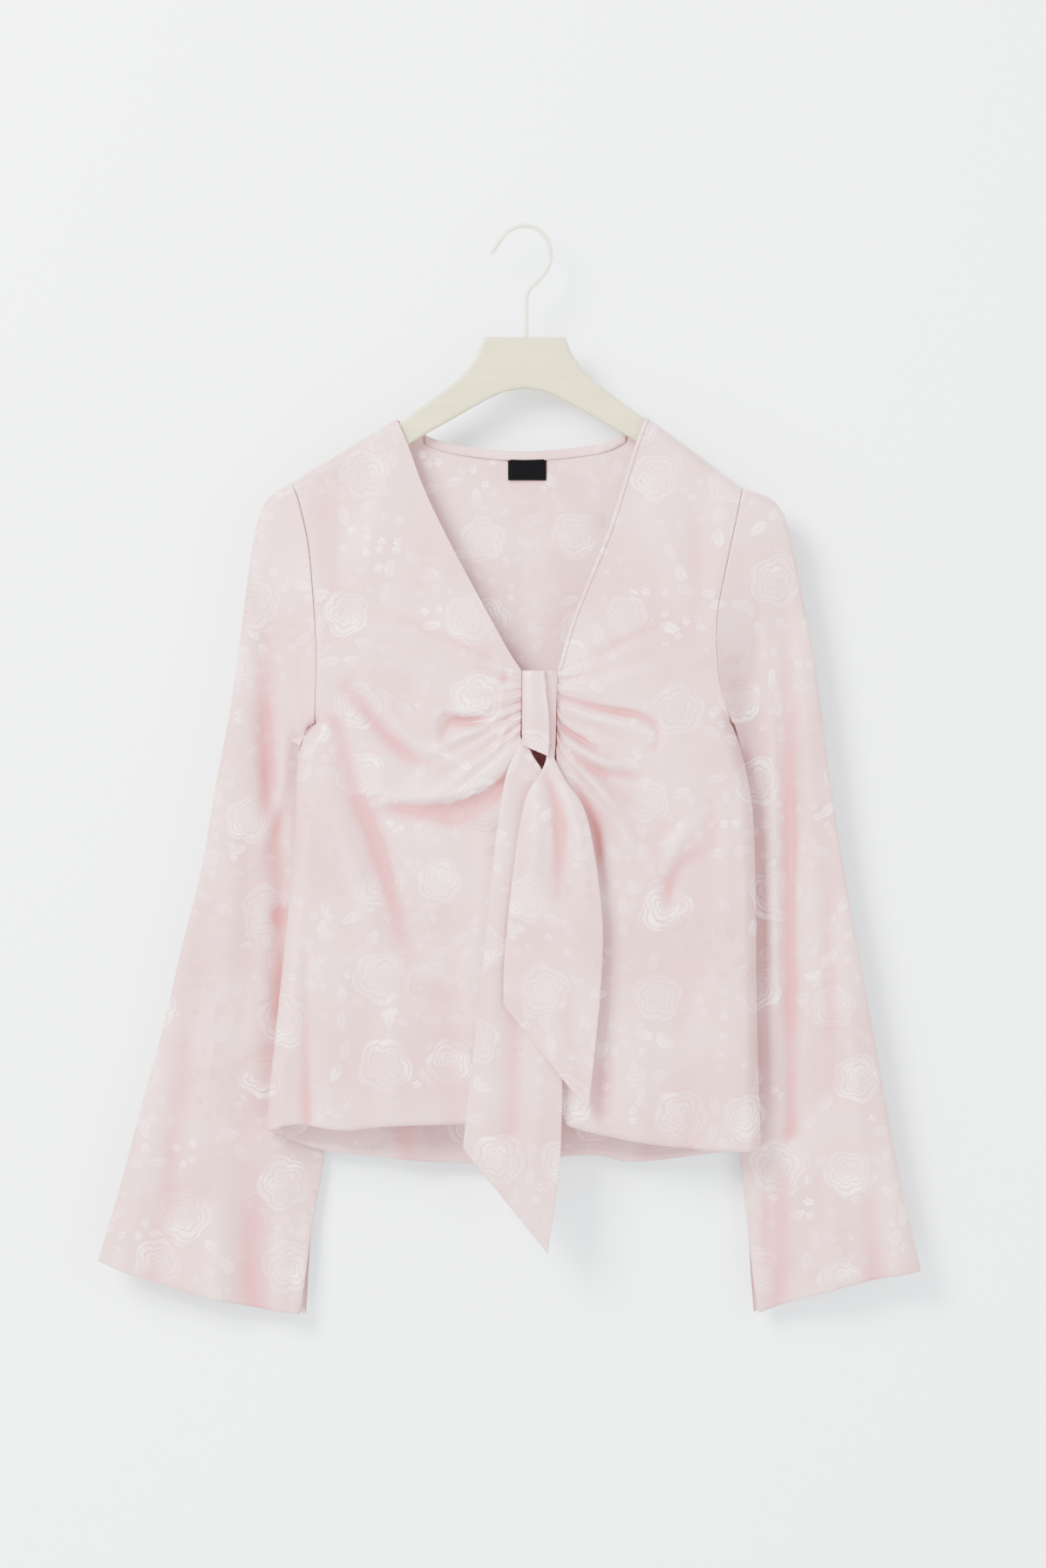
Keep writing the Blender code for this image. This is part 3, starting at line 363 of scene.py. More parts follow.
def rounding(points):
    """0 on the shoulder and side seams, rising to 1 as a quarter circle."""
    height = np.ones(points.shape[:-1])
    seams = [
        ([NECK_R, SHOULDER_R], ROUND_SHOULDER),
        ([NECK_L, SHOULDER_L], ROUND_SHOULDER),
        (smooth(SIDE_R, 24), ROUND_SIDE),
        (smooth(SIDE_L, 24), ROUND_SIDE),
    ]
    for line, radius in seams:
        far = np.minimum(reach(points, line)[0] / radius, 1.0)
        height = np.minimum(height, np.sqrt(1 - (1 - far) ** 2))
    return height


def torso_depth(points, face):
    """Depth of the plain torso at each (x, z) point, without its folds."""
    depth = np.interp(points[..., 1], DEPTH["z"], DEPTH[face])
    if face == "front":
        rise, spread = KNOT_HOLLOW
        far = np.linalg.norm(points - np.array(KNOT), axis=-1)
        depth = depth - rise * np.exp(-(far / spread) ** 2)
    return SIDE_LIP + (depth - SIDE_LIP) * rounding(points)


def patch(top, bottom, inner, outer, across):
    """Points between four edges; rows run from the inner edge to the outer one."""
    u = across[None, :, None]
    v = np.linspace(0, 1, len(inner))[:, None, None]
    sides = (1 - u) * inner[:, None] + u * outer[:, None]
    ends = (1 - v) * top[None] + v * bottom[None]
    corners = (1 - v) * ((1 - u) * top[0] + u * top[-1]) + v * ((1 - u) * bottom[0] + u * bottom[-1])
    return sides + ends - corners


def spaced(count, crowd=0.6):
    """Places from 0 to 1, closer together near both ends."""
    even = np.linspace(0, 1, count + 1)
    return crowd * (1 - np.cos(math.pi * even)) / 2 + (1 - crowd) * even


def edge_at(points, places):
    """Points of an edge at the given places along it."""
    fine = smooth(points, FINE_STEPS)
    at = np.linspace(0, 1, len(fine))
    return np.column_stack([np.interp(places, at, fine[:, k]) for k in range(2)])


def shifted(points, along_x):
    """An edge moved along X, to leave the space of a seam."""
    return [(x + along_x, z) for x, z in points]


def lifted(flat, depth):
    """3-D points from (x, z) points and their y."""
    return np.dstack([flat[..., 0], depth, flat[..., 1]])


def wander(points, size, seed):
    """Soft, uneven swells of about one unit, from a few crossed waves."""
    swell = np.zeros(points.shape[:-1])
    rng = np.random.default_rng(seed)
    for _ in range(7):
        angle = rng.uniform(0, math.pi)
        wave = size * rng.uniform(0.6, 1.7)
        phase = rng.uniform(0, 2 * math.pi)
        along = points[..., 0] * math.cos(angle) + points[..., 1] * math.sin(angle) * 0.55
        swell += np.sin(2 * math.pi * along / wave + phase)
    return swell / 3.0


def swells(points, seed, parts):
    """Swells of several heights and sizes added together."""
    return sum(height * wander(points, size, seed + k) for k, (height, size) in enumerate(parts))


def hide_with(piece, node):
    """The piece stands for a CAD node and rides on the one body."""
    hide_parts(node)
    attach(piece, "root")


def mesh_piece(name, build, material):
    """A mesh object from a bmesh."""
    mesh = bpy.data.meshes.new(name)
    build.to_mesh(mesh)
    build.free()
    mesh.shade_smooth()
    mesh.materials.append(material)
    piece = bpy.data.objects.new(name, mesh)
    bpy.context.scene.collection.objects.link(piece)
    return piece


HOLLOW_NEAR = 4.0
HOLLOW_FAR = 13.0
HOLLOW_SELF = 0.42


def smeared(values, size, steps):
    """Values averaged over about that many millimetres, with the given steps between points."""
    result = values.copy()
    rounds = int(np.clip((size / max(steps, 0.2)) ** 2, 1, 60))
    for _ in range(rounds):
        wide = np.pad(result, 1, mode="edge")
        result = (wide[:-2, 1:-1] + wide[2:, 1:-1] + wide[1:-1, :-2] + wide[1:-1, 2:]) / 4
    return result


# The material paints shade into these hollows and light onto the ridges
def hollows(grid, height):
    """How far each point lies under the cloth round it, in millimetres; ridges are negative."""
    step = float(np.median(np.linalg.norm(np.diff(grid, axis=0), axis=2)))
    step = max(step, float(np.median(np.linalg.norm(np.diff(grid, axis=1), axis=2))))
    near = smeared(height, HOLLOW_NEAR, step) - height
    far = smeared(height, HOLLOW_FAR, step) - height
    return near * 1.2 + far + np.maximum(-height, 0) * HOLLOW_SELF


def shell(name, grid, chart, marks, outward, material, wall=CLOTH):
    """A thin cloth wall. The chart gives each point its place on the flat cloth, in
    metres, and marks are numbers stored on the points for the material to read."""
    rows, columns = grid.shape[:2]
    if "hollow" not in marks:
        marks = dict(marks, hollow=np.zeros((rows, columns)))
    build = bmesh.new()
    chart_layer = build.loops.layers.uv.new("cloth")
    layers = {key: build.verts.layers.float.new(key) for key in marks}
    points = [[build.verts.new(grid[i, j] * MM) for j in range(columns)] for i in range(rows)]
    for key, layer in layers.items():
        values = marks[key]
        for i in range(rows):
            for j in range(columns):
                points[i][j][layer] = float(values[i, j])
    for i in range(rows - 1):
        for j in range(columns - 1):
            corners = ((i, j), (i, j + 1), (i + 1, j + 1), (i + 1, j))
            face = build.faces.new([points[a][b] for a, b in corners])
            for loop, (a, b) in zip(face.loops, corners):
                loop[chart_layer].uv = chart[a, b]
    build.normal_update()
    turned = sum(face.normal.dot(outward(face.calc_center_median() / MM)) for face in build.faces)
    if turned < 0:
        bmesh.ops.reverse_faces(build, faces=build.faces)
    bmesh.ops.remove_doubles(build, verts=build.verts, dist=MERGE)
    piece = mesh_piece(name, build, material)
    solid = piece.modifiers.new("wall", "SOLIDIFY")
    solid.thickness = wall * MM
    solid.offset = -1.0
    solid.use_even_offset = True
    return piece


def forward(point):
    return (0.0, -1.0, 0.0)


def backward(point):
    return (0.0, 1.0, 0.0)


def flat_size(grid):
    """Width and length of the cut, and its area, measured on the grid, in metres."""
    across = np.linalg.norm(np.diff(grid, axis=1), axis=2).sum(axis=1).max() * MM
    down = np.linalg.norm(np.diff(grid, axis=0), axis=2).sum(axis=0).max() * MM
    first = grid[1:, 1:] - grid[:-1, :-1]
    second = grid[1:, :-1] - grid[:-1, 1:]
    area = (np.linalg.norm(np.cross(first, second), axis=2) / 2).sum() * MM * MM
    return float(across), float(down), float(area)


NARROWEST = 0.0102


def declare(piece, grid):
    """States the cut of a cloth piece, with the area that shows."""
    width, length, area = flat_size(grid)
    width = max(width, NARROWEST)
    length = max(length, NARROWEST)
    area = min(max(area, 0.31 * width * length), 0.999 * width * length)
    print("cut", piece.name, round(width, 3), round(length, 3), round(area, 4))


DENSE = 1.0
FRONT_STEPS = {"v_edge": int(70 * DENSE), "gather": int(96 * DENSE), "centre": int(46 * DENSE)}
LOWER_ARMHOLE = int(26 * DENSE)
FRONT_COLUMNS = int(130 * DENSE)
ARMHOLE_SPLIT_Z = -300.0
SIDE_SPLIT_Z = -600.0
TOP_EASE = 1.5
FRONT_FOLDS = 1.2
FRONT_SWELLS = ((0.45, 70.0), (0.2, 26.0))
SEAM_SINK = 0.5
SEAM_SINK_WIDE = 3.0
FINE_PLEATS = 0.35
FINE_PLEATS_FADE = 22.0


def front_grid(v_edge, gather, centre, armhole, side, hem, neck, folds, way, seed):
    """Outer points of one front; way is -1 for the wearer's right and +1 for the left."""
    across = spaced(FRONT_COLUMNS, 0.75)
    armhole = shifted(armhole, -way * SEAM)
    upper, lower = split_at(armhole, ARMHOLE_SPLIT_Z)
    above, below = split_at(side, SIDE_SPLIT_Z)
    steps = FRONT_STEPS
    inner = chain((v_edge, steps["v_edge"], TOP_EASE), (gather, steps["gather"]), (centre, steps["centre"]))
    outer = chain((upper, steps["v_edge"], TOP_EASE), (lower, LOWER_ARMHOLE),
                  (above, steps["gather"] - LOWER_ARMHOLE), (below, steps["centre"]))
    top = edge_at([neck, armhole[0]], across)
    bottom = edge_at(hem, across)
    flat = patch(top, bottom, inner, outer, across)
    depth = torso_depth(flat, "front")
    calm = rounding(flat) ** 2
    depth = depth + FRONT_FOLDS * folded(flat, folds) * calm
    rows = np.arange(len(inner))[:, None]
    turn = (rows - steps["v_edge"]) / steps["gather"]
    inside = (turn > 0) & (turn < 1)
    run = np.abs(flat[..., 0] - flat[:, :1, 0])
    phase = turn * 2 * math.pi * PLEATS
    wave = np.sin(phase) * (0.8 + 0.2 * np.sin(turn * 9 + seed))
    fine = FINE_PLEATS * np.sin(phase * 2.6 + seed) * np.exp(-(run / FINE_PLEATS_FADE) ** 2)
    depth = depth + np.where(inside, PLEAT_RISE * wave * np.exp(-(run / PLEAT_FADE) ** 2) + fine, 0.0)
    depth = depth + swells(flat, seed, FRONT_SWELLS) * calm
    seam_far = reach(flat, smooth(armhole, 40))[0]
    depth = depth - SEAM_SINK * np.exp(-(seam_far / SEAM_SINK_WIDE) ** 2) * calm
    hem_far = reach(flat, smooth(hem, 60))[0]
    vee_far = reach(flat, smooth(v_edge, 60))[0]
    grid = lifted(flat, -depth)
    marks = {
        "trim": np.minimum(hem_far, vee_far + HEM_WIDE - EDGE_WIDE),
        "run": np.where(hem_far < vee_far, flat[..., 0], flat[..., 1] * 1.1),
        "seam": seam_far,
        "hollow": hollows(grid, depth - torso_depth(flat, "front")),
    }
    return grid, flat, marks


def make_fronts(satin):
    sides = (
        ("front_right", -1, 3, V_EDGE_R, GATHER_R, CENTRE_R, ARMHOLE_R, SIDE_R, HEM_FRONT_R, NECK_R, FOLDS_R),
        ("front_left", 1, 8, V_EDGE_L, GATHER_L, CENTRE_L, ARMHOLE_L, SIDE_L, HEM_FRONT_L, NECK_L, FOLDS_L),
    )
    grids = {}
    for name, way, seed, v_edge, gather, centre, armhole, side, hem, neck, folds in sides:
        grid, flat, marks = front_grid(v_edge, gather, centre, armhole, side, hem, neck, folds, way, seed)
        piece = shell("satin_" + name, grid, flat * MM, marks, forward, satin)
        hide_with(piece, name)
        declare(piece, grid)
        grids[name] = grid
    return grids


STRIP_LIFT = 0.75
STRIP_BULGE = 0.25
# Lines of the strip: share of its width, of its lift and of its bulge
STRIP_LINES = ((0.0, 0.7, 0.0), (0.35, 1.0, 1.0), (0.7, 1.0, 1.0), (1.0, 0.8, 0.0))


def make_strip(front, satin):
    """The folded strip along the left front's V edge, on the front's own points."""
    rows = FRONT_STEPS["v_edge"] + 1
    edge = front[2:rows, 0]
    inside = front[2:rows, max(4, int(12 * DENSE))]
    way = inside - edge
    way /= np.linalg.norm(way, axis=1)[:, None]
    lift = np.array([0.0, -STRIP_LIFT, 0.0])
    bulge = np.array([0.0, -STRIP_BULGE, 0.0])
    lines = [edge + way * STRIP_WIDE * wide + lift * up + bulge * out for wide, up, out in STRIP_LINES]
    grid = np.stack(lines, axis=1)
    chart = np.dstack([grid[..., 0], grid[..., 2]]) * MM
    plain = np.full(grid.shape[:2], NONE_NEAR)
    piece = shell("satin_front_strip", grid, chart, {"trim": plain, "run": grid[..., 2], "seam": plain},
                  forward, satin, 0.5)
    hide_with(piece, "front_strip")
    declare(piece, grid)


BACK_COLUMNS = {"shoulder": int(36 * DENSE), "neck": int(74 * DENSE)}
BACK_ROWS = {"armhole": int(56 * DENSE), "side": int(80 * DENSE)}
BACK_SEED = 21
BACK_SWELLS = ((0.5, 80.0), (0.2, 28.0))
BACK_CHART = (310.0, 95.0)


def make_back(satin):
    armhole_r = shifted(ARMHOLE_R, SEAM)
    armhole_l = shifted(ARMHOLE_L, -SEAM)
    shoulder_r = smooth([armhole_r[0], NECK_R], BACK_COLUMNS["shoulder"])
    shoulder_l = smooth([NECK_L, armhole_l[0]], BACK_COLUMNS["shoulder"])
    neck = edge_at(NECK_BACK, spaced(BACK_COLUMNS["neck"], 1.0))
    top = np.vstack([shoulder_r, neck[1:], shoulder_l[1:]])
    count = len(top) - 1
    across = spaced(count, 0.9)
    bottom = edge_at(HEM_BACK, across)
    left_side = chain((armhole_r, BACK_ROWS["armhole"], TOP_EASE), (SIDE_R, BACK_ROWS["side"]))
    right_side = chain((armhole_l, BACK_ROWS["armhole"], TOP_EASE), (SIDE_L, BACK_ROWS["side"]))
    flat = patch(top, bottom, left_side, right_side, across)
    calm = rounding(flat) ** 2
    depth = torso_depth(flat, "back") + folded(flat, FOLDS_BACK) * calm
    depth = depth + swells(flat, BACK_SEED, BACK_SWELLS) * calm
    grid = lifted(flat, depth)
    hem_far = reach(flat, smooth(HEM_BACK, 60))[0]
    seam_far = np.minimum(reach(flat, smooth(armhole_r, 30))[0], reach(flat, smooth(armhole_l, 30))[0])
    marks = {"trim": hem_far - 1.0, "run": flat[..., 0], "seam": seam_far,
             "hollow": hollows(grid, depth - torso_depth(flat, "back"))}
    chart = (flat * [-1, 1] + BACK_CHART) * MM
    piece = shell("satin_back", grid, chart, marks, backward, satin)
    hide_with(piece, "back")
    declare(piece, grid)


BACK_WALL = 1.0
BINDING_DROP = 0.3
BINDING_GAP = 0.35
BINDING_WALL = 0.8
BINDING_CROWN = 0.35
BINDING_STITCH = 0.9
BINDING_CHART = (44.0, 12.0)


def make_binding(satin):
    """The band inside the back neck edge."""
    fine = smooth(NECK_BACK, 160)
    kept = fine[np.abs(fine[:, 0]) < BINDING_REACH]
    edge = smooth(kept, 90)
    steps = np.linspace(0, 1, 7)
    flat = np.stack([edge - [0.0, BINDING_DROP + BINDING_WIDE * t] for t in steps], axis=1)
    base = torso_depth(flat, "back") - BACK_WALL - BINDING_GAP - BINDING_WALL
    crown = BINDING_CROWN * np.sin(math.pi * steps)[None, :]
    grid = lifted(flat, base - crown)
    down = BINDING_WIDE * np.ones((len(edge), 1)) * steps[None, :]
    trim = down - BINDING_WIDE + HEM_WIDE + BINDING_STITCH
    marks = {"trim": trim, "run": flat[..., 0], "seam": np.full(down.shape, NONE_NEAR)}
    chart = (flat + BINDING_CHART) * MM
    piece = shell("satin_neck_binding", grid, chart, marks, forward, satin, 0.7)
    hide_with(piece, "neck_binding")
    declare(piece, grid)


LABEL_CURL = 0.35
LABEL_GAP = 1.0


def make_label(material):
    """A woven strip with its two ends turned under."""
    steps = spaced(40, 0.5)
    down = np.linspace(0, 1, 26)
    x = LABEL_X[0] + (LABEL_X[1] - LABEL_X[0]) * steps[None, :] * np.ones((len(down), 1))
    z = LABEL_Z[0] + (LABEL_Z[1] - LABEL_Z[0]) * down[:, None] * np.ones((1, len(steps)))
    flat = np.dstack([x, z])
    base = torso_depth(flat, "back") - BACK_WALL - LABEL_GAP
    turned = np.minimum(1.0, np.minimum(steps, 1 - steps) * 14)[None, :]
    curl = LABEL_CURL * (down[:, None] ** 2) * np.sin(math.pi * steps)[None, :]
    grid = lifted(flat, base - 0.25 * turned - curl)
    plain = np.full(grid.shape[:2], NONE_NEAR)
    edge = np.minimum(np.minimum(x - LABEL_X[0], LABEL_X[1] - x), np.minimum(LABEL_Z[0] - z, z - LABEL_Z[1]))
    marks = {"trim": edge, "run": x, "seam": plain}
    piece = shell("label_woven", grid, flat * MM, marks, forward, material, 0.45)
    hide_with(piece, "neck_label")
    declare(piece, grid)


SLEEVE_FOLDS = 1.5
SLEEVE_SWELLS_FRONT = ((0.55, 60.0), (0.25, 24.0))
SLEEVE_SWELLS_BACK = ((0.55, 62.0), (0.25, 25.0))
RINGS_BETWEEN = 12
SLEEVE_STEPS = int(80 * DENSE)
SLIT_REACH = 9.0
SLIT_SIDE = 0.6
CUFF_FROM_RING = 9


def between_rows(table, count):
    """The table's rows as plain numbers, with smooth rows between them."""
    rows = curved(np.array([[*row[0], *row[1], *row[2:]] for row in table]), count)
    rows[:, 8] = np.clip(rows[:, 8], 0.0, 1.0)
    return rows


def sleeve_grid(table, armhole, folds_front, folds_back, slit_gap, bow, way, seed):
    """Rings of a flattened tube, from the armhole seam to the cuff."""
    rows = between_rows(table, RINGS_BETWEEN)
    across = spaced(SLEEVE_STEPS, 0.72)
    seam = edge_at(shifted(armhole, way * SEAM), 1 - across)
    profile = np.sqrt(1 - np.abs(2 * across - 1) ** 3)
    faces = []
    residual = None
    for ring, row in enumerate(rows):
        inner, outer = row[0:3], row[3:6]
        line = inner + (outer - inner) * across[:, None]
        half = (row[6] + (row[7] - row[6]) * across) * profile
        front = line.copy()
        back = line.copy()
        front[:, 1] -= half
        back[:, 1] += half
        if residual is None:
            true_front = np.column_stack([seam[:, 0], -torso_depth(seam, "front"), seam[:, 1]])
            true_back = np.column_stack([seam[:, 0], torso_depth(seam, "back"), seam[:, 1]])
            residual = (true_front - front, true_back - back)
        front += residual[0] * row[8]
        back += residual[1] * row[8]
        faces.append((front, back, line))
    front = np.array([face[0] for face in faces])
    back = np.array([face[1] for face in faces])
    line = np.array([face[2] for face in faces])
    calm = profile[None, :] * ((1 - rows[:, 8]) ** 2)[:, None]
    place_front = front[..., [0, 2]]
    place_back = back[..., [0, 2]]
    swell = swells(place_front, seed, SLEEVE_SWELLS_FRONT)
    rise_front = (SLEEVE_FOLDS * folded(place_front, folds_front) + swell) * calm
    front[..., 1] -= rise_front
    swell = swells(place_back, seed + 2, SLEEVE_SWELLS_BACK)
    rise_back = (folded(place_back, folds_back) + swell) * calm
    back[..., 1] += rise_back
    hollow_shade = (hollows(front, rise_front), hollows(back, rise_back))
    number = np.arange(len(rows)) / RINGS_BETWEEN
    low = np.clip((number - CUFF_FROM_RING) / (len(table) - 1 - CUFF_FROM_RING), 0, 1) ** 2
    drop = bow * low[:, None] * (4 * across * (1 - across))[None, :]
    front[..., 2] -= drop
    back[..., 2] -= drop
    for end in (0, -1):
        joined = (front[1:, end] + back[1:, end]) / 2
        front[1:, end] = joined
        back[1:, end] = joined
    opening = np.clip((SLIT_TOP_Z - rows[:, 2]) / (SLIT_TOP_Z - rows[-1, 2]), 0, 1)
    from_slit = np.linalg.norm(line - line[:, :1], axis=2)
    spread = (np.exp(-(from_slit / SLIT_REACH) ** 2)) * (opening * (1.6 - 0.6 * opening))[:, None]
    front[..., 1] -= slit_gap * spread / 2
    back[..., 1] += slit_gap * spread / 2
    back[..., 0] -= way * slit_gap * SLIT_SIDE * spread * opening[:, None]
    grid = np.concatenate([front, back[:, -2::-1]], axis=1)
    outer_z = line[::-1, -1, 2]
    outer_x = line[::-1, -1, 0]
    fold_x = np.interp(back[..., 2], outer_z, outer_x)
    chart_front = front[..., [0, 2]]
    chart_back = np.dstack([2 * fold_x - back[..., 0], back[..., 2]])
    chart = np.concatenate([chart_front, chart_back[:, -2::-1]], axis=1) * MM
    run_down = np.linalg.norm(np.diff(grid, axis=0), axis=2)
    from_cuff = np.zeros(grid.shape[:2])
    from_cuff[:-1] = np.cumsum(run_down[::-1], axis=0)[::-1]
    around = np.zeros(grid.shape[:2])
    around[:, 1:] = np.cumsum(np.linalg.norm(np.diff(grid, axis=1), axis=2), axis=1)
    slit_far = np.minimum(around, around[:, -1:] - around)
    beside_slit = np.where(grid[..., 2] < SLIT_TOP_Z + 4, slit_far + HEM_WIDE - EDGE_WIDE, NONE_NEAR)
    from_top = np.zeros(grid.shape[:2])
    from_top[1:] = np.cumsum(run_down, axis=0)
    marks = {
        "trim": np.minimum(from_cuff, beside_slit),
        "run": np.where(from_cuff < beside_slit, around, grid[..., 2]),
        "seam": np.minimum(from_top, slit_far),
        "hollow": np.concatenate([hollow_shade[0], hollow_shade[1][:, -2::-1]], axis=1),
    }
    return grid, chart, marks


def make_sleeves(satin):
    sides = (
        ("sleeve_right", -1, 31, SLEEVE_R, ARMHOLE_R,
         FOLDS_SLEEVE_R, FOLDS_SLEEVE_BACK_R, SLIT_GAP_R, CUFF_BOW_R),
        ("sleeve_left", 1, 41, SLEEVE_L, ARMHOLE_L,
         FOLDS_SLEEVE_L, FOLDS_SLEEVE_BACK_L, SLIT_GAP_L, CUFF_BOW_L),
    )
    for name, way, seed, table, armhole, folds_front, folds_back, gap, bow in sides:
        grid, chart, marks = sleeve_grid(table, armhole, folds_front, folds_back, gap, bow, way, seed)
        middles = (grid[:, 0] + grid[:, (grid.shape[1] - 1) // 2]) / 2

        def outward(point, middles=middles):
            near = np.argmin(np.abs(middles[:, 2] - point[2]))
            return (0.0, point[1] - middles[near, 1], 0.0)

        piece = shell("satin_" + name, grid, chart, marks, outward, satin)
        hide_with(piece, name)
        declare(piece, grid)


KNOT_AROUND = int(112 * DENSE)
KNOT_ROWS = int(70 * DENSE)
KNOT_FLAT_X = 0.55
KNOT_FLAT_Y = 0.7
KNOT_BULGE = 0.6
KNOT_CHART = (260.0, 40.0)
STRIP_RIGHT = [(15.8, -366.0), (17.0, -382.0), (19.0, -400.0), (19.8, -416.0), (18.6, -438.0)]
SECOND_FOLD_DROP = 4.6
KNOT_FOLDS = [
    ([(20.5, -368), (22.0, -388), (22.6, -408), (20.8, -428)], (-0.6, -1.2, -0.6), 1.2, 1.6),
    ([(6, -368), (5, -395), (9, -425)], (0.3, 0.9, 0.5), 6.0, 6.0),
    ([(1, -380), (0.5, -405), (1, -424)], (0.2, 0.6, 0.3), 2.4, 2.4),
    ([(12, -372), (14, -400), (14, -430)], (-0.2, -0.7, -0.4), 3.0, 3.0),
]


def make_knot(satin):
    """The band wrapped round the gathers, with a second fold behind its right edge."""
    rows = np.array(KNOT_BAND)
    steps = np.linspace(0, len(rows) - 1, KNOT_ROWS + 1)
    fine = np.column_stack([np.interp(steps, np.arange(len(rows)), rows[:, k]) for k in range(6)])
    for _ in range(int(6 * DENSE)):
        fine[1:-1] = (fine[:-2] + 2 * fine[1:-1] + fine[2:]) / 4
    angle = np.linspace(0, 2 * math.pi, KNOT_AROUND + 1)
    c, s = np.cos(angle), np.sin(angle)
    u = 0.5 + 0.5 * np.copysign(np.abs(c) ** KNOT_FLAT_X, c)
    w = 0.5 + 0.5 * np.copysign(np.abs(s) ** KNOT_FLAT_Y, s)
    z_left, z_right, left, right, front, back = (fine[:, k][:, None] for k in range(6))
    x = left + (right - left) * u
    z = z_left + (z_right - z_left) * u
    y = back + (front - back) * w
    facing = np.clip((w - 0.55) / 0.25, 0, 1) * np.ones_like(x)
    place = np.dstack([x, z])
    edge_x = np.interp(-z, [-point[1] for point in STRIP_RIGHT], [point[0] for point in STRIP_RIGHT])
    past = np.clip((x - edge_x + 0.35) / 0.7, 0, 1)
    lip = 0.5 * np.exp(-((x - edge_x + 0.9) / 0.8) ** 2)
    y = y + facing * (SECOND_FOLD_DROP * past - lip - folded(place, KNOT_FOLDS))
    bulge = KNOT_BULGE * np.exp(-((z + 404) / 16) ** 2)
    grid = np.dstack([x, y - facing * bulge, z])
    middle = grid[:, :-1].mean(axis=(0, 1))

    def outward(point):
        return (point[0] - middle[0], point[1] - middle[1], 0.0)

    chart = np.dstack([x + KNOT_CHART[0], z + KNOT_CHART[1]]) * MM
    plain = np.full(grid.shape[:2], NONE_NEAR)
    # Painted shade in the crease behind the second fold, painted light on the band's face before it
    hollow_shade = 1.6 * facing * np.exp(-((x - edge_x - 0.9) / 0.9) ** 2) - 0.6 * facing * (1 - past)
    marks = {"trim": plain, "run": z, "seam": plain, "hollow": hollow_shade}
    piece = shell("satin_knot", grid, chart, marks, outward, satin)
    hide_with(piece, "knot_band")
    declare(piece, grid)


TIE_BELLY = 1.5
TIE_FOLDS = 1.3
TIE_EDGE_TURN = 0.45


def make_tie(name, tie, rows, columns, offset, seed, satin):
    """One tie end: a strip of doubled cloth between two edges, with a slanted end."""
    left = smooth(tie["left"], rows)
    right = smooth(tie["right"], rows)
    across = spaced(columns, 0.6)[None, :, None]
    flat = left[:, None] * (1 - across) + right[:, None] * across
    down = np.linspace(0, 1, rows + 1)
    places, depths = zip(*tie["y"])
    depth = -np.interp(down, places, depths)
    for _ in range(int(60 * DENSE)):
        depth[1:-1] = (depth[:-2] + 2 * depth[1:-1] + depth[2:]) / 4
    depth = depth[:, None] * np.ones((1, columns + 1))
    edge = TIE_BELLY * np.sin(math.pi * across[..., 0])
    depth = depth + edge * np.minimum(1.0, down * 6)[:, None]
    fade = np.minimum(1.0, down * 8)[:, None]
    tie_rise = (TIE_FOLDS * folded(flat, tie["fold"]) + 0.35 * wander(flat, 46.0, seed)) * fade
    depth = depth + tie_rise
    grid = lifted(flat, -depth)
    from_left = np.linalg.norm(flat - flat[:, :1], axis=2)
    from_right = np.linalg.norm(flat - flat[:, -1:], axis=2)
    from_end = np.linalg.norm(flat - flat[-1:], axis=2)
    soft = np.minimum(np.minimum(from_left, from_right), from_end)
    grid[..., 1] += TIE_EDGE_TURN * np.exp(-(soft / 1.2) ** 2) * fade
    plain = np.full(soft.shape, NONE_NEAR)
    marks = {"trim": plain, "run": flat[..., 1], "seam": plain, "hollow": hollows(grid, tie_rise)}
    chart = (flat + offset) * MM
    piece = shell("satin_" + name, grid, chart, marks, forward, satin, 0.9)
    hide_with(piece, name)
    declare(piece, grid)


def rgb(red, green, blue):
    """Linear colour from sRGB bytes."""
    values = []
    for byte in (red, green, blue):
        share = byte / 255
        values.append(share / 12.92 if share <= 0.04045 else ((share + 0.055) / 1.055) ** 2.4)
    return (*values, 1.0)


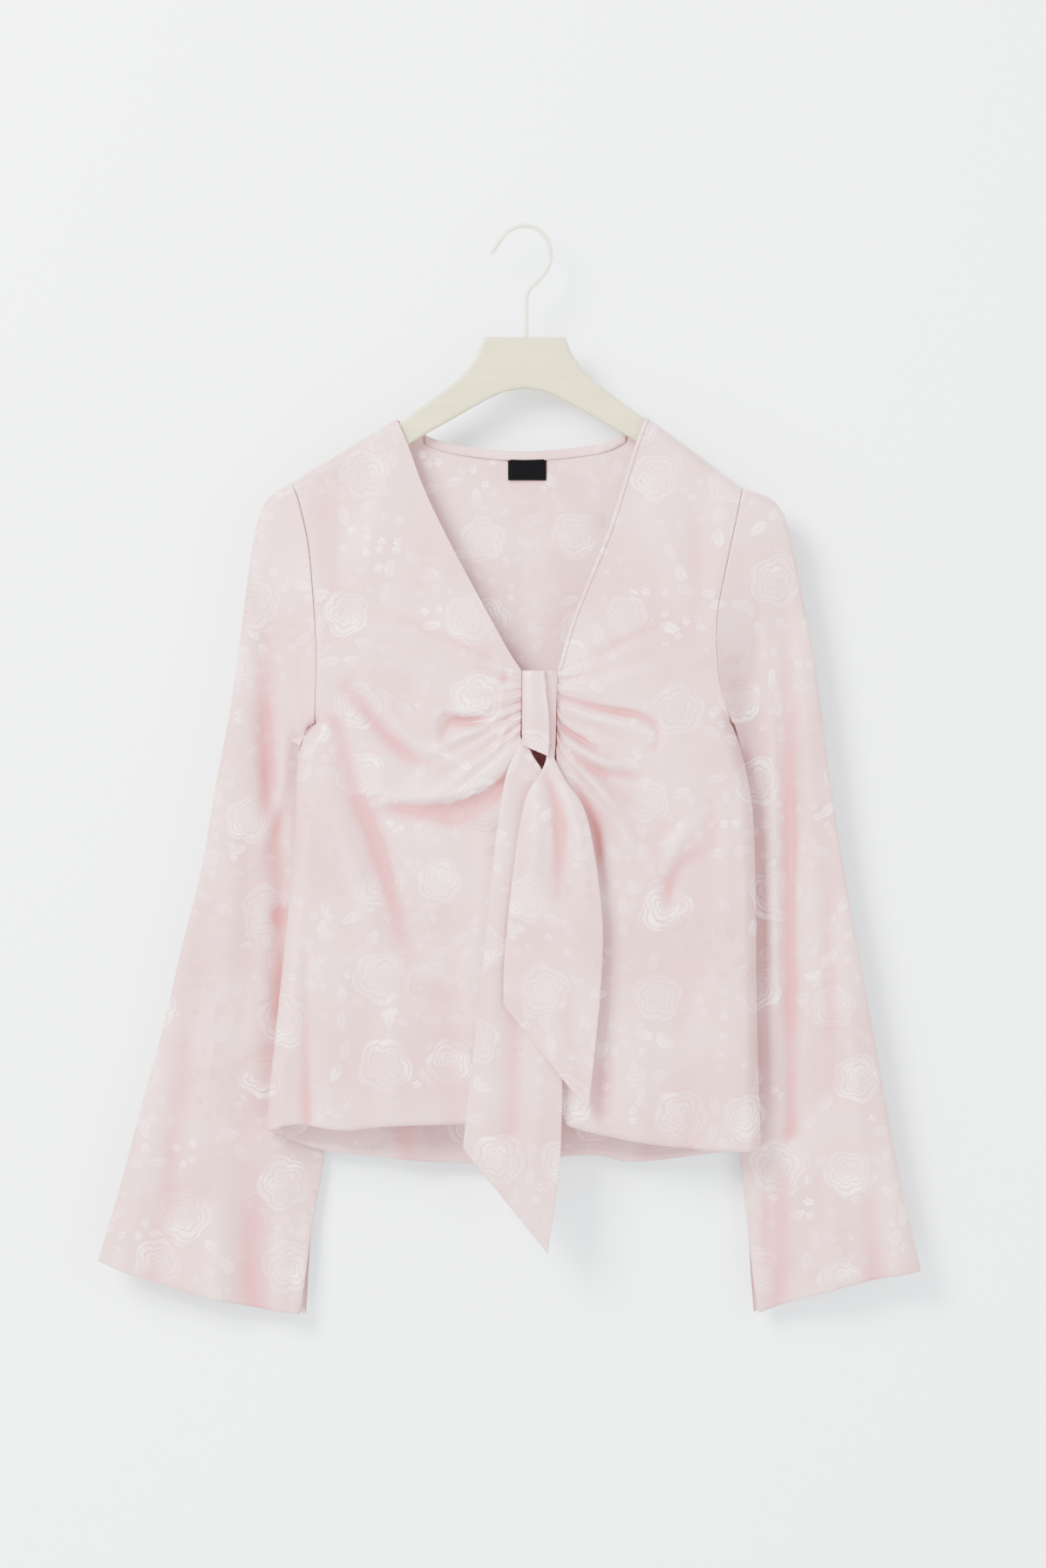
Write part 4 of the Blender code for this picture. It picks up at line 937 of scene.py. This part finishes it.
class Nodes:
    """Short calls for one material's nodes."""

    def __init__(self, name):
        self.material = bpy.data.materials.new(name)
        self.material.use_nodes = True
        self.tree = self.material.node_tree
        self.shader = self.tree.nodes["Principled BSDF"]

    def add(self, kind, **settings):
        node = self.tree.nodes.new(kind)
        for key, value in settings.items():
            setattr(node, key, value)
        return node

    def link(self, start, end):
        self.tree.links.new(start, end)

    def put(self, socket, value):
        """Set a socket to a number, or link it to another socket."""
        if isinstance(value, bpy.types.NodeSocket):
            self.link(value, socket)
        else:
            socket.default_value = value

    def math(self, operation, first, second=0.0, third=0.0, clamp=False):
        node = self.add("ShaderNodeMath", operation=operation, use_clamp=clamp)
        for socket, value in zip(node.inputs, (first, second, third)):
            self.put(socket, value)
        return node.outputs[0]

    def times(self, first, second):
        return self.math("MULTIPLY", first, second)

    def vector(self, operation, first, second=(0.0, 0.0, 0.0)):
        node = self.add("ShaderNodeVectorMath", operation=operation)
        self.put(node.inputs[0], first)
        self.put(node.inputs[1], second)
        return node

    def between(self, value, low, high, soft=True):
        """0 at low, 1 at high."""
        node = self.add("ShaderNodeMapRange", interpolation_type="SMOOTHSTEP" if soft else "LINEAR")
        self.put(node.inputs["Value"], value)
        self.put(node.inputs["From Min"], low)
        self.put(node.inputs["From Max"], high)
        return node.outputs[0]

    def blend(self, share, first, second):
        node = self.add("ShaderNodeMix", data_type="RGBA")
        self.put(node.inputs["Factor"], share)
        self.put(node.inputs[6], first)
        self.put(node.inputs[7], second)
        return node.outputs[2]

    def noise(self, place, scale, detail=2.0, rough=0.5):
        node = self.add("ShaderNodeTexNoise")
        self.put(node.inputs["Vector"], place)
        node.inputs["Scale"].default_value = scale
        node.inputs["Detail"].default_value = detail
        node.inputs["Roughness"].default_value = rough
        return node.outputs["Fac"]

    def cells(self, place, size, loose=1.0):
        """Voronoi cells: the offset from the nearest centre, in metres, and its random colour."""
        node = self.add("ShaderNodeTexVoronoi", voronoi_dimensions="2D")
        self.put(node.inputs["Vector"], place)
        node.inputs["Scale"].default_value = 1 / size
        node.inputs["Randomness"].default_value = loose
        off = self.vector("SUBTRACT", place, node.outputs["Position"]).outputs[0]
        return off, node.outputs["Color"]

    def split(self, vector):
        node = self.add("ShaderNodeSeparateXYZ")
        self.link(vector, node.inputs[0])
        return node.outputs[0], node.outputs[1], node.outputs[2]

    def attribute(self, name):
        return self.add("ShaderNodeAttribute", attribute_name=name).outputs["Fac"]

    def bump(self, height, strength, distance, under=None):
        node = self.add("ShaderNodeBump")
        self.put(node.inputs["Height"], height)
        node.inputs["Strength"].default_value = strength
        node.inputs["Distance"].default_value = distance
        if under is not None:
            self.link(under, node.inputs["Normal"])
        return node.outputs[0]


FULL_TURN = 6.2832
ROSE_SPACING = 0.082
ROSE_SIZE = 0.021
ROSE_SCALLOP = 0.15
PETAL_TURNS = 30.0
BLOSSOM_SPACING = 0.0155
BLOSSOM_SIZE = 0.0038
LEAF_SPACING = 0.046
LEAF_FROM_STEM = 0.0098
LEAF_HALF_LENGTH = 0.0090
LEAF_HALF_WIDTH = 0.0043


def polar(m, off):
    """Distance from the centre in metres and the angle round it."""
    x, y, _ = m.split(off)
    far = m.vector("LENGTH", off).outputs["Value"]
    return far, m.math("ARCTAN2", y, x)


def rose(m, place):
    """Concentric scalloped petals: 1 on the petals' raised faces, 0 between them and outside."""
    off, chance = m.cells(place, ROSE_SPACING, 0.62)
    pick, turn, _ = m.split(chance)
    far, angle = polar(m, off)
    angle = m.math("ADD", angle, m.times(turn, FULL_TURN))
    size = m.math("MULTIPLY_ADD", pick, 0.006, ROSE_SIZE - 0.004)
    ring = m.math("DIVIDE", far, size)
    petals = m.math("SINE", m.times(angle, 2.5))
    scallop = m.times(m.math("ABSOLUTE", petals), ROSE_SCALLOP)
    swirl = m.math("MULTIPLY_ADD", angle, 3.0, m.times(ring, 7.0))
    twist = m.times(m.math("SINE", swirl), 0.05)
    shaped = m.math("SUBTRACT", m.math("ADD", ring, twist), scallop)
    whole = m.between(shaped, 0.92, 0.86)
    wound = m.math("ADD", m.times(m.math("POWER", shaped, 0.8), PETAL_TURNS), angle)
    petal_lines = m.between(m.math("SINE", wound), -0.95, -0.25)
    radial = m.math("SINE", m.math("MULTIPLY_ADD", angle, 7.0, m.times(shaped, 9.0)))
    breaks = m.between(radial, -1.0, -0.82)
    lines = m.times(petal_lines, m.math("MULTIPLY_ADD", breaks, 0.5, 0.5))
    return m.times(whole, lines), m.between(shaped, 1.1, 0.9)


def leaves(m, place, keep_clear):
    """Pointed leaves with a middle vein, turned at random."""
    moved = m.vector("ADD", place, (0.37, 0.21, 0.0)).outputs[0]
    off, chance = m.cells(moved, LEAF_SPACING, 0.8)
    pick, turn, _ = m.split(chance)
    spun = m.add("ShaderNodeVectorRotate", rotation_type="Z_AXIS")
    m.link(off, spun.inputs["Vector"])
    m.put(spun.inputs["Angle"], m.times(turn, FULL_TURN))
    x, y, _ = m.split(spun.outputs[0])
    shapes = []
    for side in (-1, 1):
        along = m.math("ABSOLUTE", m.math("SUBTRACT", x, side * LEAF_FROM_STEM))
        tip = m.math("DIVIDE", along, LEAF_HALF_LENGTH)
        width = m.times(m.math("SUBTRACT", 1.0, m.times(tip, tip)), LEAF_HALF_WIDTH)
        tooth = m.times(m.math("SINE", m.times(x, 2600.0)), 0.0003)
        inside = m.math("SUBTRACT", m.math("ADD", width, tooth), m.math("ABSOLUTE", y))
        shapes.append(m.between(inside, 0.0, 0.0004))
    both = m.math("MAXIMUM", shapes[0], shapes[1])
    vein = m.between(m.math("ABSOLUTE", y), 0.0001, 0.0005)
    slope = m.math("SUBTRACT", m.math("ABSOLUTE", y), m.times(x, 0.8))
    slant = m.math("SINE", m.times(slope, 2400.0))
    veins = m.times(vein, m.between(slant, -0.98, -0.6))
    open_here = m.math("SUBTRACT", 1.0, keep_clear, clamp=True)
    chosen = m.math("GREATER_THAN", pick, 0.12)
    return m.times(m.times(both, veins), m.times(open_here, chosen))


def blossoms(m, place, keep_clear):
    """Clusters of small five-petal blossoms."""
    off, chance = m.cells(place, BLOSSOM_SPACING, 0.85)
    pick, turn, _ = m.split(chance)
    far, angle = polar(m, off)
    angle = m.math("ADD", angle, m.times(turn, FULL_TURN))
    petal = m.math("ABSOLUTE", m.math("COSINE", m.times(angle, 2.5)))
    radius = m.math("MULTIPLY_ADD", petal, BLOSSOM_SIZE * 0.55, BLOSSOM_SIZE * 0.55)
    inside = m.between(m.math("SUBTRACT", radius, far), 0.0, 0.0005)
    heart = m.between(far, 0.0005, 0.0009)
    cluster = m.between(m.noise(place, 17.0, 1.0), 0.45, 0.52)
    open_here = m.math("SUBTRACT", 1.0, keep_clear, clamp=True)
    uneven = m.between(m.noise(place, 420.0, 1.0), 0.30, 0.62)
    open_here = m.times(open_here, m.math("MULTIPLY_ADD", uneven, 0.65, 0.35))
    shape = m.times(m.times(inside, heart), m.times(cluster, open_here))
    return shape, m.times(inside, cluster)


WARP_THREADS = 9000.0
WEFT_THREADS = 6500.0
SATIN = {
    "ground": (0.50, 0.27, 0.265, 1.0),
    "ground_pale": (0.57, 0.345, 0.335, 1.0),
    "raised": (0.60, 0.38, 0.37, 1.0),
    "raised_pale": (0.70, 0.49, 0.47, 1.0),
    "glint": (0.90, 0.77, 0.74, 1.0),
    # painted shade: the figure darker than the ground where its sheen turns away
    "figure_shade": (0.45, 0.235, 0.235, 1.0),
    "fine": (0.40, 0.19, 0.19, 1.0),
    # painted shade in the stitch line
    "stitch_painted_shade": (0.36, 0.16, 0.16, 1.0),
    "stitch_thread": (0.72, 0.52, 0.50, 1.0),
    # painted shade along the seams
    "seam": (0.36, 0.17, 0.17, 1.0),
    # painted shade in hollows and creases of the cloth
    "hollow": (0.42, 0.12, 0.125, 1.0),
    # painted highlight on fold crests
    "crest_highlight": (0.74, 0.56, 0.54, 1.0),
}


def satin_material():
    """Pale pink satin with a woven figure of roses, leaves and small blossoms, with painted shade in hollows,
    seams, stitch lines and patches of the figure, and painted highlights on fold crests and as glints on the
    figure.
    """
    m = Nodes("satin_jacquard")
    chart = m.add("ShaderNodeUVMap", uv_map="cloth").outputs[0]
    warp = m.add("ShaderNodeTexNoise")
    m.link(chart, warp.inputs["Vector"])
    warp.inputs["Scale"].default_value = 60.0
    warp.inputs["Detail"].default_value = 2.0
    shift = m.vector("SCALE", m.vector("SUBTRACT", warp.outputs["Color"], (0.5, 0.5, 0.5)).outputs[0])
    shift.inputs["Scale"].default_value = 0.0035
    place = m.vector("ADD", chart, shift.outputs[0]).outputs[0]

    petals, rose_area = rose(m, place)
    small, small_area = blossoms(m, place, rose_area)
    clear = m.math("MAXIMUM", rose_area, m.times(small_area, 0.9))
    leaf = leaves(m, place, clear)
    figure = m.math("MAXIMUM", m.math("MAXIMUM", petals, small), leaf)

    patch_tone = m.between(m.noise(chart, 11.0, 2.0), 0.36, 0.66)
    glint = m.between(m.noise(m.vector("ADD", chart, (3.1, 1.7, 0.0)).outputs[0], 26.0, 2.0), 0.50, 0.68)
    # Patches where the figure takes painted shade in place of its own colour
    figure_shade = m.between(m.noise(m.vector("ADD", chart, (7.3, 4.1, 0.0)).outputs[0], 9.0, 1.0), 0.56, 0.64)
    trim = m.attribute("trim")
    run = m.attribute("run")
    plain_hem = m.between(trim, HEM_WIDE - 0.4, HEM_WIDE + 0.2)
    figure = m.times(figure, m.math("MULTIPLY_ADD", plain_hem, 0.5, 0.5))

    ground = m.blend(patch_tone, SATIN["ground"], SATIN["ground_pale"])
    raised = m.blend(patch_tone, SATIN["raised"], SATIN["raised_pale"])
    raised = m.blend(m.times(glint, 0.8), raised, SATIN["glint"])
    raised = m.blend(figure_shade, raised, SATIN["figure_shade"])
    colour = m.blend(m.times(figure, 0.85), ground, raised)
    fine_tone = m.noise(chart, 900.0, 2.0)
    colour = m.blend(m.times(fine_tone, 0.12), colour, SATIN["fine"])
    stitch_line = m.between(m.math("ABSOLUTE", m.math("SUBTRACT", trim, HEM_WIDE)), 0.55, 0.2)
    dash = m.between(m.math("SINE", m.times(run, 2.4)), -0.55, -0.2)
    stitch = m.times(stitch_line, dash)
    # Painted shade darkens the base colour along the stitch line
    colour = m.blend(m.times(stitch_line, 0.35), colour, SATIN["stitch_painted_shade"])
    colour = m.blend(m.times(stitch, 0.5), colour, SATIN["stitch_thread"])
    seam = m.attribute("seam")
    # Painted shade darkens the base colour along the seams
    seam_painted_shade = m.between(seam, 1.1, 0.2)
    colour = m.blend(m.times(seam_painted_shade, 0.45), colour, SATIN["seam"])
    # Painted shade: the base colour darkens towards deep pink where the cloth lies in a hollow or crease
    hollow = m.attribute("hollow")
    hollow_shade = m.between(hollow, 0.1, 3.0, False)
    colour = m.blend(m.times(hollow_shade, 0.9), colour, SATIN["hollow"])
    # Painted highlight: the base colour lightens on fold crests
    crest_highlight = m.between(hollow, -0.1, -2.4)
    colour = m.blend(m.times(crest_highlight, 0.35), colour, SATIN["crest_highlight"])
    m.link(colour, m.shader.inputs["Base Color"])

    rough = m.math("MULTIPLY_ADD", figure, -0.13, 0.44)
    rough = m.math("ADD", rough, m.times(m.noise(chart, 34.0, 2.0), 0.07))
    m.link(rough, m.shader.inputs["Roughness"])
    m.shader.inputs["Specular IOR Level"].default_value = 0.5
    m.shader.inputs["Sheen Weight"].default_value = 0.18
    m.shader.inputs["Sheen Roughness"].default_value = 0.35
    m.shader.inputs["Sheen Tint"].default_value = rgb(250, 236, 232)
    m.shader.inputs["Subsurface Weight"].default_value = 0.05
    m.shader.inputs["Subsurface Radius"].default_value = (0.004, 0.002, 0.0018)

    x, y, _ = m.split(chart)
    warp_thread = m.math("SINE", m.times(m.math("ADD", x, m.times(y, 0.25)), WARP_THREADS))
    weft_thread = m.math("SINE", m.times(y, WEFT_THREADS))
    weave = m.math("MULTIPLY_ADD", warp_thread, 0.6, m.times(weft_thread, 0.4))
    normal = m.bump(weave, 0.05, 0.0002)
    normal = m.bump(figure, 0.22, 0.00035, normal)
    crush = m.noise(chart, 95.0, 4.0, 0.55)
    normal = m.bump(crush, 0.16, 0.0014, normal)
    sewn = m.math("SUBTRACT", m.times(stitch, 0.5), stitch_line)
    pucker = m.times(m.between(seam, 9.0, 0.0), m.math("SINE", m.times(run, 0.9)))
    sewn = m.math("ADD", sewn, m.times(pucker, 0.30))
    normal = m.bump(sewn, 0.5, 0.0006, normal)
    m.link(normal, m.shader.inputs["Normal"])
    return m.material


TAPE_THREADS = (7000.0, 9000.0)
TAPE_DARK = (0.0012, 0.0012, 0.0014, 1.0)
TAPE_PALE = (0.0030, 0.0030, 0.0034, 1.0)
TAPE_SELVEDGE = (0.006, 0.006, 0.0065, 1.0)


def label_material():
    """Black woven tape with a fine rib."""
    m = Nodes("label_tape")
    chart = m.add("ShaderNodeUVMap", uv_map="cloth").outputs[0]
    x, y, _ = m.split(chart)
    rib = m.math("SINE", m.times(y, TAPE_THREADS[1]))
    thread = m.math("SINE", m.times(x, TAPE_THREADS[0]))
    tone = m.noise(chart, 500.0, 3.0)
    selvedge = m.between(m.attribute("trim"), 0.5, 0.9)
    colour = m.blend(tone, TAPE_DARK, TAPE_PALE)
    colour = m.blend(selvedge, TAPE_SELVEDGE, colour)
    m.link(colour, m.shader.inputs["Base Color"])
    m.link(m.math("MULTIPLY_ADD", tone, 0.2, 0.6), m.shader.inputs["Roughness"])
    m.shader.inputs["Specular IOR Level"].default_value = 0.02
    weave = m.math("MULTIPLY_ADD", rib, 0.6, m.times(thread, 0.4))
    m.link(m.bump(weave, 0.25, 0.0002), m.shader.inputs["Normal"])
    return m.material


PAINTS = {
    "hanger_body": ("hanger_paint", (0.44, 0.395, 0.21, 1.0), (0.37, 0.33, 0.175, 1.0), 22.0, 0.38),
    "hanger_hook": ("hook_paint", (0.62, 0.58, 0.42, 1.0), (0.48, 0.44, 0.31, 1.0), 60.0, 0.32),
}


def paint_material(name, light, dark, scale, rough):
    """Satin paint with brush streaks along the piece and a little wear."""
    m = Nodes(name)
    place = m.add("ShaderNodeTexCoord").outputs["Object"]
    long_way = m.add("ShaderNodeMapping")
    m.link(place, long_way.inputs["Vector"])
    long_way.inputs["Scale"].default_value = (scale, scale * 5, scale * 5)
    streak = m.noise(long_way.outputs[0], 1.0, 5.0, 0.6)
    patches = m.noise(place, 18.0, 2.0)
    colour = m.blend(m.between(streak, 0.3, 0.75), light, dark)
    colour = m.blend(m.times(m.between(patches, 0.55, 0.8), 0.25), colour, dark)
    m.link(colour, m.shader.inputs["Base Color"])
    m.link(m.math("MULTIPLY_ADD", streak, 0.2, rough), m.shader.inputs["Roughness"])
    m.shader.inputs["Coat Weight"].default_value = 0.15
    m.shader.inputs["Coat Roughness"].default_value = 0.35
    m.link(m.bump(streak, 0.12, 0.0004), m.shader.inputs["Normal"])
    return m.material


def paint_node(node, material):
    """A CAD node kept as it is, with its own material."""
    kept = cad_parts[node]
    kept.data.materials.clear()
    kept.data.materials.append(material)


CAMERA = (-0.0022, -3.2, -0.4587)
LENS = 89.0
SENSOR_WIDE = 36.0


def add_camera():
    data = bpy.data.cameras.new("camera")
    data.lens = LENS
    data.sensor_width = SENSOR_WIDE
    camera = bpy.data.objects.new("camera", data)
    camera.location = CAMERA
    camera.rotation_euler = (math.pi / 2, 0.0, 0.0)
    bpy.context.scene.collection.objects.link(camera)
    bpy.context.scene.camera = camera


LAMPS = (
    ("key", (-1.7, -2.3, 1.1), (0.0, 0.0, -0.42), (1.4, 1.4), 500.0, (1.0, 0.99, 0.975)),
    ("fill", (2.2, -2.3, -0.3), (0.0, 0.0, -0.5), (1.6, 2.2), 105.0, (0.95, 0.98, 1.0)),
)


def add_area(name, place, target, size, power, colour):
    data = bpy.data.lights.new(name, "AREA")
    data.shape = "RECTANGLE"
    data.size = size[0]
    data.size_y = size[1]
    data.energy = power
    data.color = colour
    lamp = bpy.data.objects.new(name, data)
    lamp.location = place
    way = [b - a for a, b in zip(place, target)]
    flat = math.hypot(way[0], way[1])
    lamp.rotation_euler = (math.atan2(flat, -way[2]), 0.0, math.atan2(-way[0], way[1]))
    bpy.context.scene.collection.objects.link(lamp)


def add_world():
    world = bpy.data.worlds.new("world")
    bpy.context.scene.world = world
    world.use_nodes = True
    back = world.node_tree.nodes["Background"]
    back.inputs["Color"].default_value = (0.94, 0.96, 1.0, 1.0)
    back.inputs["Strength"].default_value = 1.35


def add_plane(name, corners, material):
    """A flat stage piece that is no part of the blouse."""
    mesh = bpy.data.meshes.new(name)
    mesh.from_pydata(corners, [], [(0, 1, 2, 3)])
    mesh.materials.append(material)
    plane = bpy.data.objects.new(name, mesh)
    bpy.context.scene.collection.objects.link(plane)


def wall_material():
    """A matt wall that shows only its front, so views from behind stay open."""
    m = Nodes("stage_wall")
    m.shader.inputs["Base Color"].default_value = (0.83, 0.87, 0.89, 1.0)
    m.shader.inputs["Roughness"].default_value = 0.9
    clear = m.add("ShaderNodeBsdfTransparent")
    choose = m.add("ShaderNodeMixShader")
    facing = m.add("ShaderNodeNewGeometry")
    m.link(facing.outputs["Backfacing"], choose.inputs[0])
    m.link(m.shader.outputs[0], choose.inputs[1])
    m.link(clear.outputs[0], choose.inputs[2])
    m.link(choose.outputs[0], m.tree.nodes["Material Output"].inputs["Surface"])
    return m.material


def floor_material():
    m = Nodes("stage_floor")
    m.shader.inputs["Base Color"].default_value = rgb(228, 230, 231)
    m.shader.inputs["Roughness"].default_value = 0.8
    return m.material


WALL_Y = 0.034
WALL_HALF = 1.6
WALL_TOP = 1.1
FLOOR_Z = -1.35
FLOOR_HALF = 3.0
FLOOR_FRONT = -4.0


def add_stage():
    sides = (-WALL_HALF, WALL_HALF)
    wall = [(x, WALL_Y, FLOOR_Z) for x in sides] + [(x, WALL_Y, WALL_TOP) for x in reversed(sides)]
    sides = (-FLOOR_HALF, FLOOR_HALF)
    floor = [(x, FLOOR_FRONT, FLOOR_Z) for x in sides] + [(x, FLOOR_HALF, FLOOR_Z) for x in reversed(sides)]
    add_plane("stage_wall", wall, wall_material())
    add_plane("stage_floor", floor, floor_material())


def main():
    satin = satin_material()
    fronts = make_fronts(satin)
    make_strip(fronts["front_left"], satin)
    make_back(satin)
    make_binding(satin)
    make_label(label_material())
    make_sleeves(satin)
    make_knot(satin)
    make_tie("tie_long", TIE_LONG, int(170 * DENSE), int(56 * DENSE), [150.0, 35.0], 51, satin)
    make_tie("tie_short", TIE_SHORT, int(140 * DENSE), int(56 * DENSE), [-230.0, 64.0], 57, satin)
    for node, paint in PAINTS.items():
        paint_node(node, paint_material(*paint))
    add_camera()
    add_world()
    for lamp in LAMPS:
        add_area(*lamp)
    add_stage()


main()
